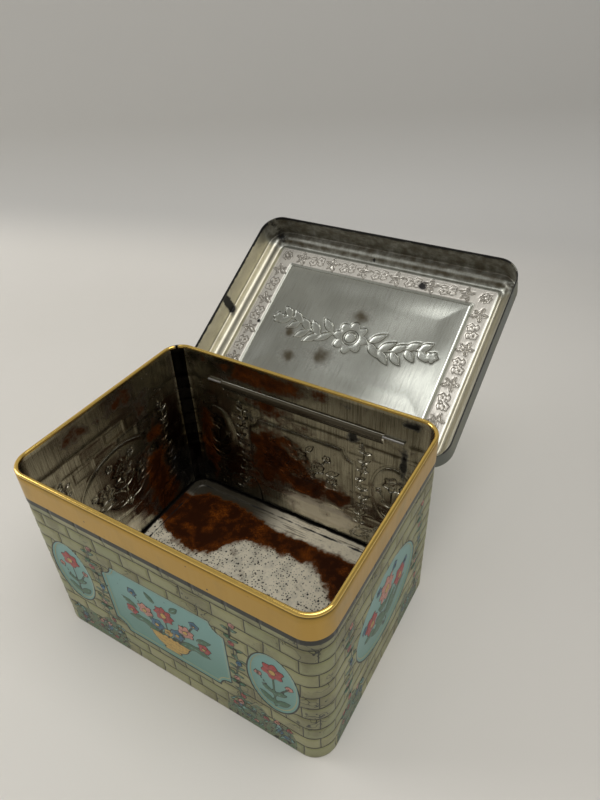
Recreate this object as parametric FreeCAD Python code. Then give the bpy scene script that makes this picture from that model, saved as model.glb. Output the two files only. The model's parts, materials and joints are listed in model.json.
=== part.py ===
"""Hinged tinplate box, shown open: a wrapped wall, a locked-in bottom, a drawn lid and a hinge wire.

Frame: +X to the right along the front, +Y to the back (the hinge side), +Z up, millimetres.
The origin is the middle of the box on the surface it stands on.
"""
import FreeCAD, Part
import math
import os

V = FreeCAD.Vector

# Tinplate
SHEET = 0.3
BEND = 0.45
CURL_TURN = 270

# Wall
BODY_LENGTH = 192.5
BODY_DEPTH = 142.0
BODY_HEIGHT = 128.0
BODY_CORNER = 13.6
BEAD_DIAMETER = 2.5
BEAD_FACETS = 9

# Lock seam between the wall's foot and the bottom plate
LOCK_PLAY = 0.1
FOOT_WIDTH = 6.0
FOOT_RETURN_END = 2.2
PLATE_FOLD_INSET = 1.2
PLATE_FOLD_END = 5.0
PANEL_STEP_INSET = 7.0
PANEL_STEP_RUN = 1.2
PANEL_FLOAT = 0.5

# Side seam in the back left corner
SEAM_WIDTH = 9.0
SEAM_FOLD = 0.6
SEAM_NOTCH = 1.5

# Hinge
WIRE_DROP = 5.3
WIRE_DIAMETER = 1.8
WIRE_LENGTH = 144.0
WIRE_SHIFT = 1.5
WIRE_PLAY = 0.1
WIRE_CHAMFER = 0.2
ROLL_PLAY = 0.05
ROLL_FACETS = 18
TONGUE_WIDTH = 119.0
TONGUE_GAP = 0.3
TONGUE_ENTRY = 0.9
SLOT_PLAY = 0.4
SLOT_RISE = 1.1
OPEN_ANGLE = 150.0
STOP_GAP = 0.15
CORNER_GAP = 0.5

# Lid, measured as it stands closed
SKIRT_DEPTH = 17.4
REST_GAP = 0.4
SIDE_GAP = 0.75
FRONT_GAP = 2.4
HEM_HEIGHT = 2.5
HEM_PLAY = 0.15
SHOULDER_RADIUS = 1.0
SHOULDER_FACETS = 3
SHELF_WIDTH = 5.5
RISER_RUN = 1.6
RISER_HEIGHT = 2.6
CREST_INSET = 9.0
CREST_WIDTH = 1.6
CREST_HEIGHT = 2.0
FRIEZE_INSET = 12.0
FRIEZE_DROP = 1.0
FRIEZE_WIDTH = 12.5
FRAME_CORNER = 3.4
FRAME_RIB_WIDTH = 1.3
FRAME_RIB_HEIGHT = 0.5

# Levels and places that follow from the sizes above
HALF = SHEET / 2
BEAD_RADIUS = BEAD_DIAMETER / 2
WALL_BACK = BODY_DEPTH / 2
LOCK_PITCH = SHEET + LOCK_PLAY

LID_BOTTOM = BODY_HEIGHT - SKIRT_DEPTH
WIRE_LEVEL = LID_BOTTOM - WIRE_DROP
WIRE_RADIUS = WIRE_DIAMETER / 2
HINGE_Y = WALL_BACK - SHEET - WIRE_PLAY - WIRE_RADIUS
HINGE = V(0, HINGE_Y, WIRE_LEVEL)
WALL_OFFSET = WALL_BACK - HINGE_Y
OPEN_COS = math.cos(math.radians(OPEN_ANGLE))
OPEN_SIN = math.sin(math.radians(OPEN_ANGLE))

HEM = 2 * SHEET + HEM_PLAY
LID_CORNER = BODY_CORNER + SIDE_GAP + HEM
LID_LENGTH = BODY_LENGTH + 2 * (SIDE_GAP + HEM)
LID_BACK = BODY_DEPTH / 2 + SIDE_GAP + HEM
LID_FRONT = BODY_DEPTH / 2 + FRONT_GAP + HEM
LID_DEPTH = LID_BACK + LID_FRONT
LID_CENTRE = V(0, (LID_BACK - LID_FRONT) / 2, 0)
SHELF_LEVEL = BODY_HEIGHT + REST_GAP + HALF
RISER_LEVEL = SHELF_LEVEL + RISER_HEIGHT
CREST_LEVEL = RISER_LEVEL + CREST_HEIGHT
FRIEZE_LEVEL = CREST_LEVEL - FRIEZE_DROP

# The back edge of the skirt stops against the wall when the lid is fully open
BACK_OFFSET = LID_BACK - HINGE_Y
STOP_HEIGHT = (WALL_OFFSET + STOP_GAP - BACK_OFFSET * OPEN_COS) / OPEN_SIN
BACK_EDGE = max(STOP_HEIGHT, WIRE_DROP + HEM_HEIGHT) + BEND
TRIM_START = (WALL_OFFSET + CORNER_GAP - WIRE_DROP * OPEN_SIN) / OPEN_COS

# The tongue hangs outside the wall and turns in through the slot, which clears it at every lid angle
ROLL_RADIUS = WIRE_RADIUS + ROLL_PLAY + HALF
TONGUE_OFFSET = WALL_OFFSET + TONGUE_GAP + HALF
TONGUE_FACE = TONGUE_OFFSET + HALF
TONGUE_CROSSING = (WALL_OFFSET - TONGUE_FACE * OPEN_COS) / OPEN_SIN
SLOT_DROP = TONGUE_FACE * OPEN_SIN - TONGUE_CROSSING * OPEN_COS + SLOT_PLAY


def strip(points, thickness=SHEET):
    """Upright section of bent sheet: a centre line of (r, z) points given a thickness and mitred bends."""
    corners = [V(r, 0, z) for r, z in points]
    lefts = [left_of((b - a).normalize()) for a, b in zip(corners, corners[1:])]
    sides = []
    for offset in (thickness / 2, -thickness / 2):
        side = [corners[0] + lefts[0] * offset]
        for corner, before, after in zip(corners[1:], lefts, lefts[1:]):
            side.append(corner + (before + after) * (offset / (1 + before.dot(after))))
        side.append(corners[-1] + lefts[-1] * offset)
        sides.append(side)
    outline = sides[0] + sides[1][::-1] + sides[0][:1]
    return Part.Face(Part.makePolygon(outline))


def arc(centre_r, centre_z, radius, start, end, facets):
    """Points on a rounded bend, from one angle to another in degrees, as short flats of sheet."""
    angles = [math.radians(start + (end - start) * i / facets) for i in range(facets + 1)]
    return [(centre_r + radius * math.cos(a), centre_z + radius * math.sin(a)) for a in angles]


def left_of(way):
    """The way turned a quarter turn to the left in the upright section plane."""
    return V(-way.z, 0, way.x)


def sweep_round(section, length, depth, corner, centre=V(0, 0, 0)):
    """Carry an upright section round a rounded rectangle; its r is measured from the corners' centres."""
    half_x = length / 2 - corner
    half_y = depth / 2 - corner
    upright = V(0, 0, 1)
    stations = [
        (half_x, -half_y, 0),
        (half_x, half_y, 90),
        (-half_x, half_y, 180),
        (-half_x, -half_y, 270),
    ]
    pieces = []
    for (x, y, angle), (next_x, next_y, _) in zip(stations, stations[1:] + stations[:1]):
        start = centre + V(x, y, 0)
        end = centre + V(next_x, next_y, 0)
        face = section.copy()
        face.rotate(V(0, 0, 0), upright, angle)
        face.translate(start)
        pieces.append(face.extrude(end - start))
        face.translate(end - start)
        pieces.append(face.revolve(end, upright, 90))
    return join(pieces)


def join(pieces):
    """One solid from pieces that touch or overlap."""
    return pieces[0].multiFuse(pieces[1:]).removeSplitter()


def slab(length, depth, corner, bottom, centre=V(0, 0, 0)):
    """A flat sheet with rounded corners, its underside at the given level."""
    box = Part.makeBox(length, depth, SHEET, centre + V(-length / 2, -depth / 2, bottom))
    uprights = [edge for edge in box.Edges if abs(edge.tangentAt(edge.FirstParameter).z) > 0.5]
    return box.makeFillet(corner, uprights)


def wall_line():
    """Centre line of the wall from the foot's hook to the end of the rim, which is curled inward."""
    wall = BODY_CORNER - HALF
    hook = BODY_CORNER - FOOT_WIDTH
    curl = BEAD_RADIUS - HALF
    foot = [
        (BODY_CORNER - FOOT_RETURN_END, HALF + 2 * LOCK_PITCH),
        (hook, HALF + 2 * LOCK_PITCH),
        (hook, HALF),
        (wall - BEND, HALF),
        (wall, HALF + BEND),
    ]
    return foot + arc(wall - curl, BODY_HEIGHT - BEAD_RADIUS, curl, 0, CURL_TURN, BEAD_FACETS)


def side_seam():
    """The folded lap where the wall's two ends meet, a band inside the back left corner."""
    inner = BODY_CORNER - SHEET - SEAM_FOLD / 2
    low = HALF + 4 * LOCK_PITCH
    high = BODY_HEIGHT - BEAD_DIAMETER
    section = strip([(inner, low), (inner, high)], SEAM_FOLD)
    return at_seam(section.revolve(V(0, 0, 0), V(0, 0, 1), math.degrees(SEAM_WIDTH / BODY_CORNER)))


def at_seam(shape):
    """Centre a band that starts along +X on the back left corner's diagonal."""
    shape.rotate(V(0, 0, 0), V(0, 0, 1), 135 - math.degrees(SEAM_WIDTH / BODY_CORNER) / 2)
    shape.translate(V(BODY_CORNER - BODY_LENGTH / 2, BODY_DEPTH / 2 - BODY_CORNER, 0))
    return shape


def seam_notch():
    """The cut that parts the curled rim above the side seam, up to its outer skin."""
    skin = BODY_CORNER - SHEET
    corner = V(BODY_CORNER - BODY_LENGTH / 2, BODY_DEPTH / 2 - BODY_CORNER, BODY_HEIGHT - BEAD_DIAMETER)
    notch = Part.makeBox(
        BEAD_DIAMETER, SEAM_NOTCH, 2 * BEAD_DIAMETER, V(skin - BEAD_DIAMETER, -SEAM_NOTCH / 2, 0)
    )
    notch.rotate(V(0, 0, 0), V(0, 0, 1), 135)
    notch.translate(corner)
    return notch


def hinge_slot():
    """The opening in the back wall that the lid's tongue swings in."""
    width = TONGUE_WIDTH + 2 * SLOT_PLAY
    start = V(-width / 2, WALL_BACK - 2 * SHEET, WIRE_LEVEL - SLOT_DROP)
    return Part.makeBox(width, 3 * SHEET, SLOT_DROP + SLOT_RISE, start)


def body_wall():
    """One sheet wrapped round the box: hooked foot, wall, inward-curled rim, side seam and hinge slot."""
    wrap = sweep_round(strip(wall_line()), BODY_LENGTH, BODY_DEPTH, BODY_CORNER)
    return join([wrap, side_seam()]).cut(join([seam_notch(), hinge_slot()]))


def bottom_plate():
    """Pressed bottom whose edge is folded round the wall's hook, its panel set down inside the seam."""
    top = HALF + 3 * LOCK_PITCH
    fold = HALF + LOCK_PITCH
    panel = PANEL_FLOAT + HALF
    edge = BODY_CORNER - PLATE_FOLD_INSET
    step_out = BODY_CORNER - PANEL_STEP_INSET
    step_in = step_out - PANEL_STEP_RUN
    rim = step_in - PANEL_STEP_RUN
    fold_line = [(BODY_CORNER - PLATE_FOLD_END, fold), (edge, fold), (edge, top)]
    panel_line = [(step_out, top), (step_in, panel), (rim, panel)]
    section = strip(fold_line + panel_line)
    inset = 2 * (BODY_CORNER - rim)
    return join([
        sweep_round(section, BODY_LENGTH, BODY_DEPTH, BODY_CORNER),
        slab(BODY_LENGTH - inset, BODY_DEPTH - inset, rim, PANEL_FLOAT),
    ])


def lid_border():
    """Skirt with its inward hem, shelf over the rim, riser and crest, down to the edge of the frieze."""
    outer = LID_CORNER - HALF
    hem = outer - SHEET - HEM_PLAY
    shelf = LID_CORNER - SHELF_WIDTH
    crest_out = LID_CORNER - CREST_INSET
    crest_in = crest_out - CREST_WIDTH
    frieze = LID_CORNER - FRIEZE_INSET
    bottom = LID_BOTTOM + HALF
    shoulder_r = outer - SHOULDER_RADIUS
    shoulder_z = SHELF_LEVEL - SHOULDER_RADIUS
    hem_line = [(hem, LID_BOTTOM + HEM_HEIGHT), (hem, bottom), (outer, bottom)]
    shoulder = arc(shoulder_r, shoulder_z, SHOULDER_RADIUS, 0, 90, SHOULDER_FACETS)
    steps = [
        (shelf, SHELF_LEVEL),
        (shelf - RISER_RUN, RISER_LEVEL),
        (crest_out, CREST_LEVEL),
        (crest_in, CREST_LEVEL),
        (frieze, FRIEZE_LEVEL),
        (frieze - CREST_WIDTH, FRIEZE_LEVEL),
    ]
    section = strip(hem_line + shoulder + steps)
    return sweep_round(section, LID_LENGTH, LID_DEPTH, LID_CORNER, LID_CENTRE)


def lid_top():
    """Flat frieze, two narrow ribs framing the middle, and the plain centre panel."""
    frieze_inset = FRIEZE_INSET + CREST_WIDTH
    frame_inset = FRIEZE_INSET + FRIEZE_WIDTH
    under = FRIEZE_LEVEL - HALF
    frame_length = LID_LENGTH - 2 * frame_inset
    frame_depth = LID_DEPTH - 2 * frame_inset
    rib_run = 2 * FRAME_RIB_WIDTH
    frieze_length = LID_LENGTH - 2 * frieze_inset
    frieze_depth = LID_DEPTH - 2 * frieze_inset
    frieze = slab(frieze_length, frieze_depth, LID_CORNER - frieze_inset, under, LID_CENTRE)
    middle = slab(frame_length, frame_depth, FRAME_CORNER, under, LID_CENTRE)
    panel_length = frame_length - 2 * rib_run
    panel_depth = frame_depth - 2 * rib_run
    panel = slab(panel_length, panel_depth, FRAME_CORNER - rib_run, under, LID_CENTRE)
    half_rib = FRAME_RIB_WIDTH / 2
    rib_levels = [FRIEZE_LEVEL, FRIEZE_LEVEL + FRAME_RIB_HEIGHT]
    steps = [(FRAME_CORNER - half_rib * i, rib_levels[i % 2]) for i in range(5)]
    ribs = sweep_round(strip(steps), frame_length, frame_depth, FRAME_CORNER, LID_CENTRE)
    return [frieze.cut(middle), ribs, panel]


def back_trim():
    """What is cut off the skirt along the hinge, so that the lid can swing right back."""
    start = HINGE_Y + TRIM_START
    bottom = LID_BOTTOM - SHEET
    depth = LID_BACK + SHEET - start
    height = WIRE_LEVEL + BACK_EDGE - bottom
    return Part.makeBox(LID_LENGTH, depth, height, V(-LID_LENGTH / 2, start, bottom))


def tongue():
    """Tab of the lid's back skirt, set in beside the wall, turned in and rolled round the hinge wire."""
    skirt = BACK_OFFSET - HALF
    bend_top = BACK_EDGE - BEND
    tab = [
        (skirt, BACK_EDGE),
        (skirt, bend_top),
        (TONGUE_OFFSET, bend_top - skirt + TONGUE_OFFSET),
        (TONGUE_OFFSET, TONGUE_ENTRY),
    ]
    section = strip(tab + arc(0, 0, ROLL_RADIUS, 0, -CURL_TURN, ROLL_FACETS))
    section.rotate(V(0, 0, 0), V(0, 0, 1), 90)
    section.translate(HINGE + V(-TONGUE_WIDTH / 2, 0, 0))
    return section.extrude(V(TONGUE_WIDTH, 0, 0))


def lid():
    """One drawn sheet with its tongue, swung open to its stop."""
    closed = join([lid_border()] + lid_top()).cut(back_trim())
    return open_up(join([closed, tongue()]))


def hinge_wire():
    """Straight wire gripped by the tongue's roll; its ends lie against the wall beside the slot."""
    start = HINGE + V(WIRE_SHIFT - WIRE_LENGTH / 2, 0, 0)
    wire = Part.makeCylinder(WIRE_RADIUS, WIRE_LENGTH, start, V(1, 0, 0))
    ends = [edge for edge in wire.Edges if edge.isClosed()]
    return open_up(wire.makeChamfer(WIRE_CHAMFER, ends))


def open_up(shape):
    """Turn a shape from the lid's closed place to its open one."""
    shape.rotate(HINGE, V(1, 0, 0), -OPEN_ANGLE)
    return shape


os.makedirs("parts", exist_ok=True)
for make in (body_wall, bottom_plate, lid, hinge_wire):
    make().exportStep("parts/" + make.__name__ + ".step")
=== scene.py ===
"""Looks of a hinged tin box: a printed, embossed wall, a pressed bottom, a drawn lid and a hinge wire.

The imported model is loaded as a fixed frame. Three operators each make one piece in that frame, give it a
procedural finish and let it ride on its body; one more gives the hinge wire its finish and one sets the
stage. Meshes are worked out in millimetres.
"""

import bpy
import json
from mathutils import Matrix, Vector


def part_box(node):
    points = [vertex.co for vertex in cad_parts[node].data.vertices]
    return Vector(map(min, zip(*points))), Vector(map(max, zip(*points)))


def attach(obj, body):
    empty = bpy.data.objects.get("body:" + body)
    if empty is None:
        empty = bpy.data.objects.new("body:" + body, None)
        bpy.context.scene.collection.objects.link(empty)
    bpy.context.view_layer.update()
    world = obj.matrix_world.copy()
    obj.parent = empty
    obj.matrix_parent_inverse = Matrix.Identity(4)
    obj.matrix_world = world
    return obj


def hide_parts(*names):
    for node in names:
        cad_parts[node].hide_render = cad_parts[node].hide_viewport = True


bl_info = {
    "name": "Hinged Tin Box",
    "version": (1, 0, 0),
    "blender": (4, 5, 0),
    "location": "View3D > Sidebar > Tin Box",
    "description": "Makes a printed tin box with a hinged lid round its packed frame",
    "category": "Add Mesh",
}

import json
import math

import bmesh
import bpy
import numpy as np
from bpy.props import FloatProperty, FloatVectorProperty, PointerProperty
from bpy.types import Operator, Panel, PropertyGroup
from mathutils import Matrix, Vector

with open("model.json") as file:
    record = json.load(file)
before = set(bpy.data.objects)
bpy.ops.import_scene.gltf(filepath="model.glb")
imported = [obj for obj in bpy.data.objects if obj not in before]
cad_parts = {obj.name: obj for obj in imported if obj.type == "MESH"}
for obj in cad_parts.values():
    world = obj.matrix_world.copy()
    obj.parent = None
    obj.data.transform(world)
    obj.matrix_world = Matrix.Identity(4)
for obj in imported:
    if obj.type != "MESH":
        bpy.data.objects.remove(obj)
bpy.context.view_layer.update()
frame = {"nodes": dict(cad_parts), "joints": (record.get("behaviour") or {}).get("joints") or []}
WALL_LOW, WALL_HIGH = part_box("body_wall")
LID_JOINT = frame["joints"][0]
MM = 1000.0
SHARP_ANGLE = math.radians(50)


def srgb(red, green, blue):
    """A colour as given on screen, 0 to 255, in the linear values that shaders use."""
    shares = [channel / 255 for channel in (red, green, blue)]
    return tuple(s / 12.92 if s <= 0.04045 else ((s + 0.055) / 1.055) ** 2.4 for s in shares)


def size_setting(name, description, default):
    """A length in metres that can be set in the sidebar."""
    return FloatProperty(
        name=name, description=description, default=default, unit="LENGTH", precision=5, min=0
    )


def angle_setting(name, description, degrees):
    """An angle that can be set in the sidebar."""
    return FloatProperty(name=name, description=description, default=math.radians(degrees), subtype="ANGLE")


def power_setting(name, description, default):
    """A lamp's power in watts that can be set in the sidebar."""
    return FloatProperty(name=name, description=description, default=default, unit="POWER")


def colour_setting(name, description, red, green, blue):
    """A colour that can be set in the sidebar."""
    return FloatVectorProperty(
        name=name, description=description, default=srgb(red, green, blue), subtype="COLOR", size=3,
        min=0, max=1,
    )


class TinBoxSizes(PropertyGroup):
    """Sizes of the wall, its seams and its relief."""

    sheet: size_setting("Sheet", "Thickness of the tinplate", 0.0003)
    corner: size_setting("Corner", "Radius of the box's upright corners", 0.0136)
    line_bottom: size_setting("Dark line", "Height of the foot of the line below the gold band", 0.1062)
    gold_bottom: size_setting("Gold band", "Height of the lower edge of the gold band", 0.1098)
    bead: size_setting("Bead", "Diameter of the curled rim", 0.0025)
    seam_width: size_setting("Side seam", "Width of the folded seam in the back left corner", 0.009)
    seam_fold: size_setting("Seam fold", "How far the folded seam stands in", 0.0006)
    seam_notch: size_setting("Rim notch", "Width of the notch in the rim above the side seam", 0.0015)
    foot: size_setting("Foot", "Width of the flange turned in under the bottom", 0.006)
    slot_length: size_setting("Hinge slot", "Length of the opening for the lid's tongue", 0.1198)
    slot_bottom: size_setting("Slot bottom", "Height of the hinge slot's lower edge", 0.09885)
    slot_top: size_setting("Slot top", "Height of the hinge slot's upper edge", 0.1064)
    course: size_setting("Course", "Height of one course of stones", 0.0102)
    stone: size_setting("Stone", "Length of one stone", 0.019)
    joint: size_setting("Joint", "Half the width of a printed joint", 0.0003)
    grid: size_setting("Mesh grid", "Spacing of the embossed wall's mesh", 0.00145)


class TinLidSizes(PropertyGroup):
    """Sizes of the lid, as it stands closed, and of its hinge tongue."""

    length: size_setting("Length", "Length of the lid over its skirt", 0.1955)
    depth: size_setting("Depth", "Depth of the lid over its skirt", 0.14665)
    shift: size_setting("Shift", "How far the lid's middle lies in front of the box's", 0.000825)
    corner: size_setting("Corner", "Radius of the lid's corners", 0.0151)
    bottom: size_setting("Skirt bottom", "Height of the skirt's lower edge", 0.1106)
    shelf: size_setting("Shelf", "Height of the top of the shelf that covers the rim", 0.1287)
    hem: size_setting("Hem", "Height of the hem inside the skirt", 0.0025)
    back_edge: size_setting("Back edge", "Height of the skirt's edge along the hinge", 0.11355)
    trim: size_setting("Trim", "How far behind the hinge the skirt's trimmed edge starts", 0.00098)
    tongue_width: size_setting("Tongue", "Width of the tongue rolled round the wire", 0.119)
    tongue_offset: size_setting("Tongue offset", "How far behind the hinge the tongue hangs", 0.00175)
    tongue_entry: size_setting("Tongue entry", "How far above the hinge the tongue turns in", 0.0009)
    roll: size_setting("Roll", "Radius of the tongue's roll round the wire", 0.0011)


class TinBoxColours(PropertyGroup):
    """Colours of the prints and of the bare metal."""

    stone: colour_setting("Stone", "Main colour of the stones", 158, 155, 114)
    stone_green: colour_setting("Mossy stone", "Greener stones", 138, 141, 102)
    stone_shade: colour_setting("Shaded stone", "Darker stones", 120, 117, 86)
    line: colour_setting("Line", "Printed joints and outlines", 34, 36, 28)
    panel: colour_setting("Panel", "Ground of the flower panels", 124, 166, 160)
    leaf: colour_setting("Leaf", "Leaves", 74, 108, 82)
    red: colour_setting("Red", "Red blossoms", 170, 72, 70)
    pink: colour_setting("Pink", "Pink blossoms", 196, 138, 124)
    blue: colour_setting("Blue", "Blue blossoms", 70, 110, 134)
    ochre: colour_setting("Ochre", "Bowls and blossom hearts", 196, 160, 84)
    gold: colour_setting("Gold", "Lacquer on the band", 188, 152, 78)
    # Paler gold of the curled rim, a painted highlight.
    rim_highlight_gold: colour_setting("Bright gold", "Polished lacquer on the curled rim", 242, 204, 112)
    tin: colour_setting("Tin", "Bare tinplate inside the box", 178, 174, 158)
    plate: colour_setting("Plate", "Bare tinplate of the bottom", 240, 231, 208)
    bright_tin: colour_setting("Bright tin", "Bare tinplate of the lid's panel", 212, 214, 204)
    frieze: colour_setting("Frieze", "Bare tinplate of the lid's border", 228, 223, 212)
    warm_tin: colour_setting("Warm tin", "Yellowed tinplate of the lid's skirt", 192, 187, 168)
    # Also laid on as painted shade inside the box, on the lid's far skirt and along embossed edges.
    tarnish_and_shade_colour: colour_setting("Tarnish", "Dull brown-grey film on old tin", 84, 77, 61)
    rust_film: colour_setting("Rust film", "Thin rust over metal", 74, 46, 20)
    rust: colour_setting("Rust", "Old rust", 48, 20, 3)
    fresh_rust: colour_setting("Fresh rust", "Bright rust", 164, 86, 18)
    # Also laid on as painted shade in the back left corners and in the crease below the rim.
    grime_and_shade_colour: colour_setting("Grime", "Black stains and worn edges", 20, 18, 16)
    steel: colour_setting("Steel", "Hinge wire", 196, 194, 190)
    lid_print: colour_setting("Lid print", "Ground of the lid's outside", 72, 80, 73)
    floor: colour_setting("Floor", "Pale table", 227, 223, 216)
    # Grey painted over the far table and up the backdrop as painted shade.
    backdrop: colour_setting("Backdrop", "The table's far end and the backdrop", 195, 193, 188)


class TinStageSettings(PropertyGroup):
    """The camera and the lamps."""

    lens: FloatProperty(
        name="Lens", description="Focal length on a 36 mm sensor", default=27.89, unit="CAMERA"
    )
    azimuth: angle_setting("Azimuth", "Camera's turn round the box", 32.0236)
    elevation: angle_setting("Elevation", "How far the camera looks down", 37.273)
    roll: angle_setting("Roll", "Camera's tilt to one side", 2.502)
    place: FloatVectorProperty(
        name="Place", description="Where the camera stands", default=(0.166774, -0.192715, 0.348309),
        subtype="TRANSLATION", size=3,
    )
    lamp: power_setting("Lamp", "Power of the soft lamp overhead", 7.8)
    small_lamp: power_setting("Small lamp", "Power of the lamp that shines on the lid's panel", 0.15)
    window: power_setting("Window", "Power of the wide light from the left", 10.6)
    sweep_start: size_setting("Sweep start", "How far from the camera's foot the table curves up", 0.68)
    sweep_bend: size_setting("Sweep bend", "Radius of the table's curve into the backdrop", 0.16)
    sky: FloatProperty(name="Sky", description="Strength of the even light", default=0.335, min=0)


# The lap round a rounded rectangle, counter-clockwise from the middle of the back left corner:
# at each stop, the heading of the outward normal and the corner centre that it turns about
LAP_TURN = np.radians([135, 180, 180, 270, 270, 360, 360, 450, 450, 495])
LAP_X = np.array([-1, -1, -1, -1, 1, 1, 1, 1, -1, -1], float)
LAP_Y = np.array([1, 1, -1, -1, -1, -1, 1, 1, 1, 1], float)
LAP_STOPS = np.arange(len(LAP_TURN), dtype=float)


def lap_point(lap, half_x, half_y, radius):
    """Points on a rounded rectangle, from its corner centres and radius, at places along the lap."""
    turn = np.interp(lap, LAP_STOPS, LAP_TURN)
    x = half_x * np.interp(lap, LAP_STOPS, LAP_X) + radius * np.cos(turn)
    y = half_y * np.interp(lap, LAP_STOPS, LAP_Y) + radius * np.sin(turn)
    return x, y


def lap_lengths(length, depth, corner):
    """Distance along the outline at each stop of the lap."""
    arc = corner * math.pi / 2
    long_side = length - 2 * corner
    short_side = depth - 2 * corner
    steps = [arc / 2, short_side, arc, long_side, arc, short_side, arc, long_side, arc / 2]
    return np.concatenate([[0.0], np.cumsum(steps)])


def even_lap(along_x, along_y, along_corner):
    """Places along the lap with a set count of columns on each side and corner."""
    half = along_corner // 2
    counts = [half, along_y, along_corner, along_x, along_corner, along_y, along_corner, along_x, half]
    return np.concatenate([np.linspace(k, k + 1, n, endpoint=False) for k, n in enumerate(counts)])


def smooth(value, low, high):
    """0 at low and 1 at high, eased between and level beyond; low may be above high."""
    share = np.clip((value - low) / (high - low), 0, 1)
    return share * share * (3 - 2 * share)


def nearest(values, target):
    """The number of the value that lies nearest to a target."""
    return int(np.argmin(np.abs(values - target)))


def ripple(x, y, scale, seed):
    """Gentle uneven waves, about -1 to 1, of the given scale in millimetres."""
    draw = np.random.default_rng(seed)
    total = np.zeros(np.broadcast(x, y).shape)
    for _ in range(7):
        turn, phase = draw.uniform(0, 2 * math.pi, 2)
        pace = 2 * math.pi * draw.uniform(0.6, 1.7) / scale
        total = total + np.sin((x * math.cos(turn) + y * math.sin(turn)) * pace + phase)
    return total / 3.2


def patches(x, y, rows):
    """The highest of soft patches, from rows of (x, y, half width, half height, share)."""
    level = np.zeros(x.shape)
    for middle_x, middle_y, reach_x, reach_y, share in rows:
        here = np.exp(-(((x - middle_x) / reach_x) ** 2) - ((y - middle_y) / reach_y) ** 2)
        level = np.maximum(level, share * here)
    return level


def make_piece(name, points, faces, materials, face_materials, body, node):
    """A mesh piece from points in millimetres that stands for a CAD node and rides on its body."""
    mesh = bpy.data.meshes.new(name)
    mesh.from_pydata(points / MM, [], faces)
    for material in materials:
        mesh.materials.append(material)
    mesh.polygons.foreach_set("material_index", np.asarray(face_materials, np.int32))
    mesh.polygons.foreach_set("use_smooth", np.ones(len(mesh.polygons), bool))
    mesh.update()
    piece = bpy.data.objects.new(name, mesh)
    bpy.context.scene.collection.objects.link(piece)
    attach(piece, body)
    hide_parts(node)
    return piece


def corner_points(piece):
    """The number of the point at each corner of each face."""
    corners = np.empty(len(piece.data.loops), np.int32)
    piece.data.loops.foreach_get("vertex_index", corners)
    return corners


def store(piece, name, values):
    """Keep a number for each point of a piece, for its finish to read."""
    layer = piece.data.attributes.new(name, "FLOAT", "POINT")
    layer.data.foreach_set("value", np.asarray(values, np.float32).ravel())


def store_tint(piece, name, colours):
    """Keep a colour for each point of a piece, for its finish to read."""
    flat = colours.reshape(-1, 3)
    layer = piece.data.attributes.new(name, "FLOAT_COLOR", "POINT")
    opaque = np.concatenate([flat, np.ones((len(flat), 1))], 1)
    layer.data.foreach_set("color", opaque.astype(np.float32).ravel())


class Field:
    """A node's output that is added, multiplied and stepped like a number, or painted over like a colour."""

    LINE_EDGE = 0.12

    def __init__(self, finish, socket):
        self.finish, self.socket = finish, socket

    def sum(self, operation, other=0.0):
        """A sum on numbers."""
        return self.finish.node("Math", {0: self, 1: other}, operation=operation)

    def __add__(self, other):
        return self.sum("ADD", other)

    def __sub__(self, other):
        return self.sum("SUBTRACT", other)

    def __mul__(self, other):
        return self.sum("MULTIPLY", other)

    def __abs__(self):
        return self.sum("ABSOLUTE")

    def most(self, other):
        """The greater of two numbers."""
        return self.sum("MAXIMUM", other)

    def step(self, low, high):
        """0 at low and 1 at high, eased between."""
        inputs = {"Value": self, "From Min": low, "From Max": high}
        return self.finish.node("MapRange", inputs, interpolation_type="SMOOTHSTEP")

    def ring(self, middle, half_width):
        """1 on a line at a set distance from an outline, 0 away from it."""
        return abs(self - middle).step(half_width + self.LINE_EDGE, half_width - self.LINE_EDGE)

    def between(self, a, b):
        """From number a to number b by this share."""
        return self.finish.node("Mix", {0: self, 2: a, 3: b}, output=0, data_type="FLOAT")

    def tint(self, a, b):
        """From colour a to colour b by this share."""
        return self.finish.node("Mix", {0: self, 6: a, 7: b}, output=2, data_type="RGBA")

    def over(self, share, colour):
        """This colour with a share of another over it."""
        return self.finish.node("Mix", {0: share, 6: self, 7: colour}, output=2, data_type="RGBA")

    def part(self, axis):
        """One of a place's three numbers."""
        return self.finish.node("SeparateXYZ", {0: self}, output=axis)

    def stretch(self, *factors):
        """Places scaled along each axis."""
        return self.finish.node("VectorMath", {0: self, 1: factors}, operation="MULTIPLY")

    def noise(self, scale, detail=4.0, roughness=0.55):
        """Cloudy noise over places, about 0 to 1."""
        inputs = {"Vector": self, "Scale": scale, "Detail": detail, "Roughness": roughness}
        return self.finish.node("TexNoise", inputs)

    def specks(self, scale, radius):
        """1 in small spots scattered over places."""
        inputs = {"Vector": self, "Scale": scale, "Randomness": 0.8}
        return self.finish.node("TexVoronoi", inputs, output="Distance").step(radius, radius * 0.6)


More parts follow.
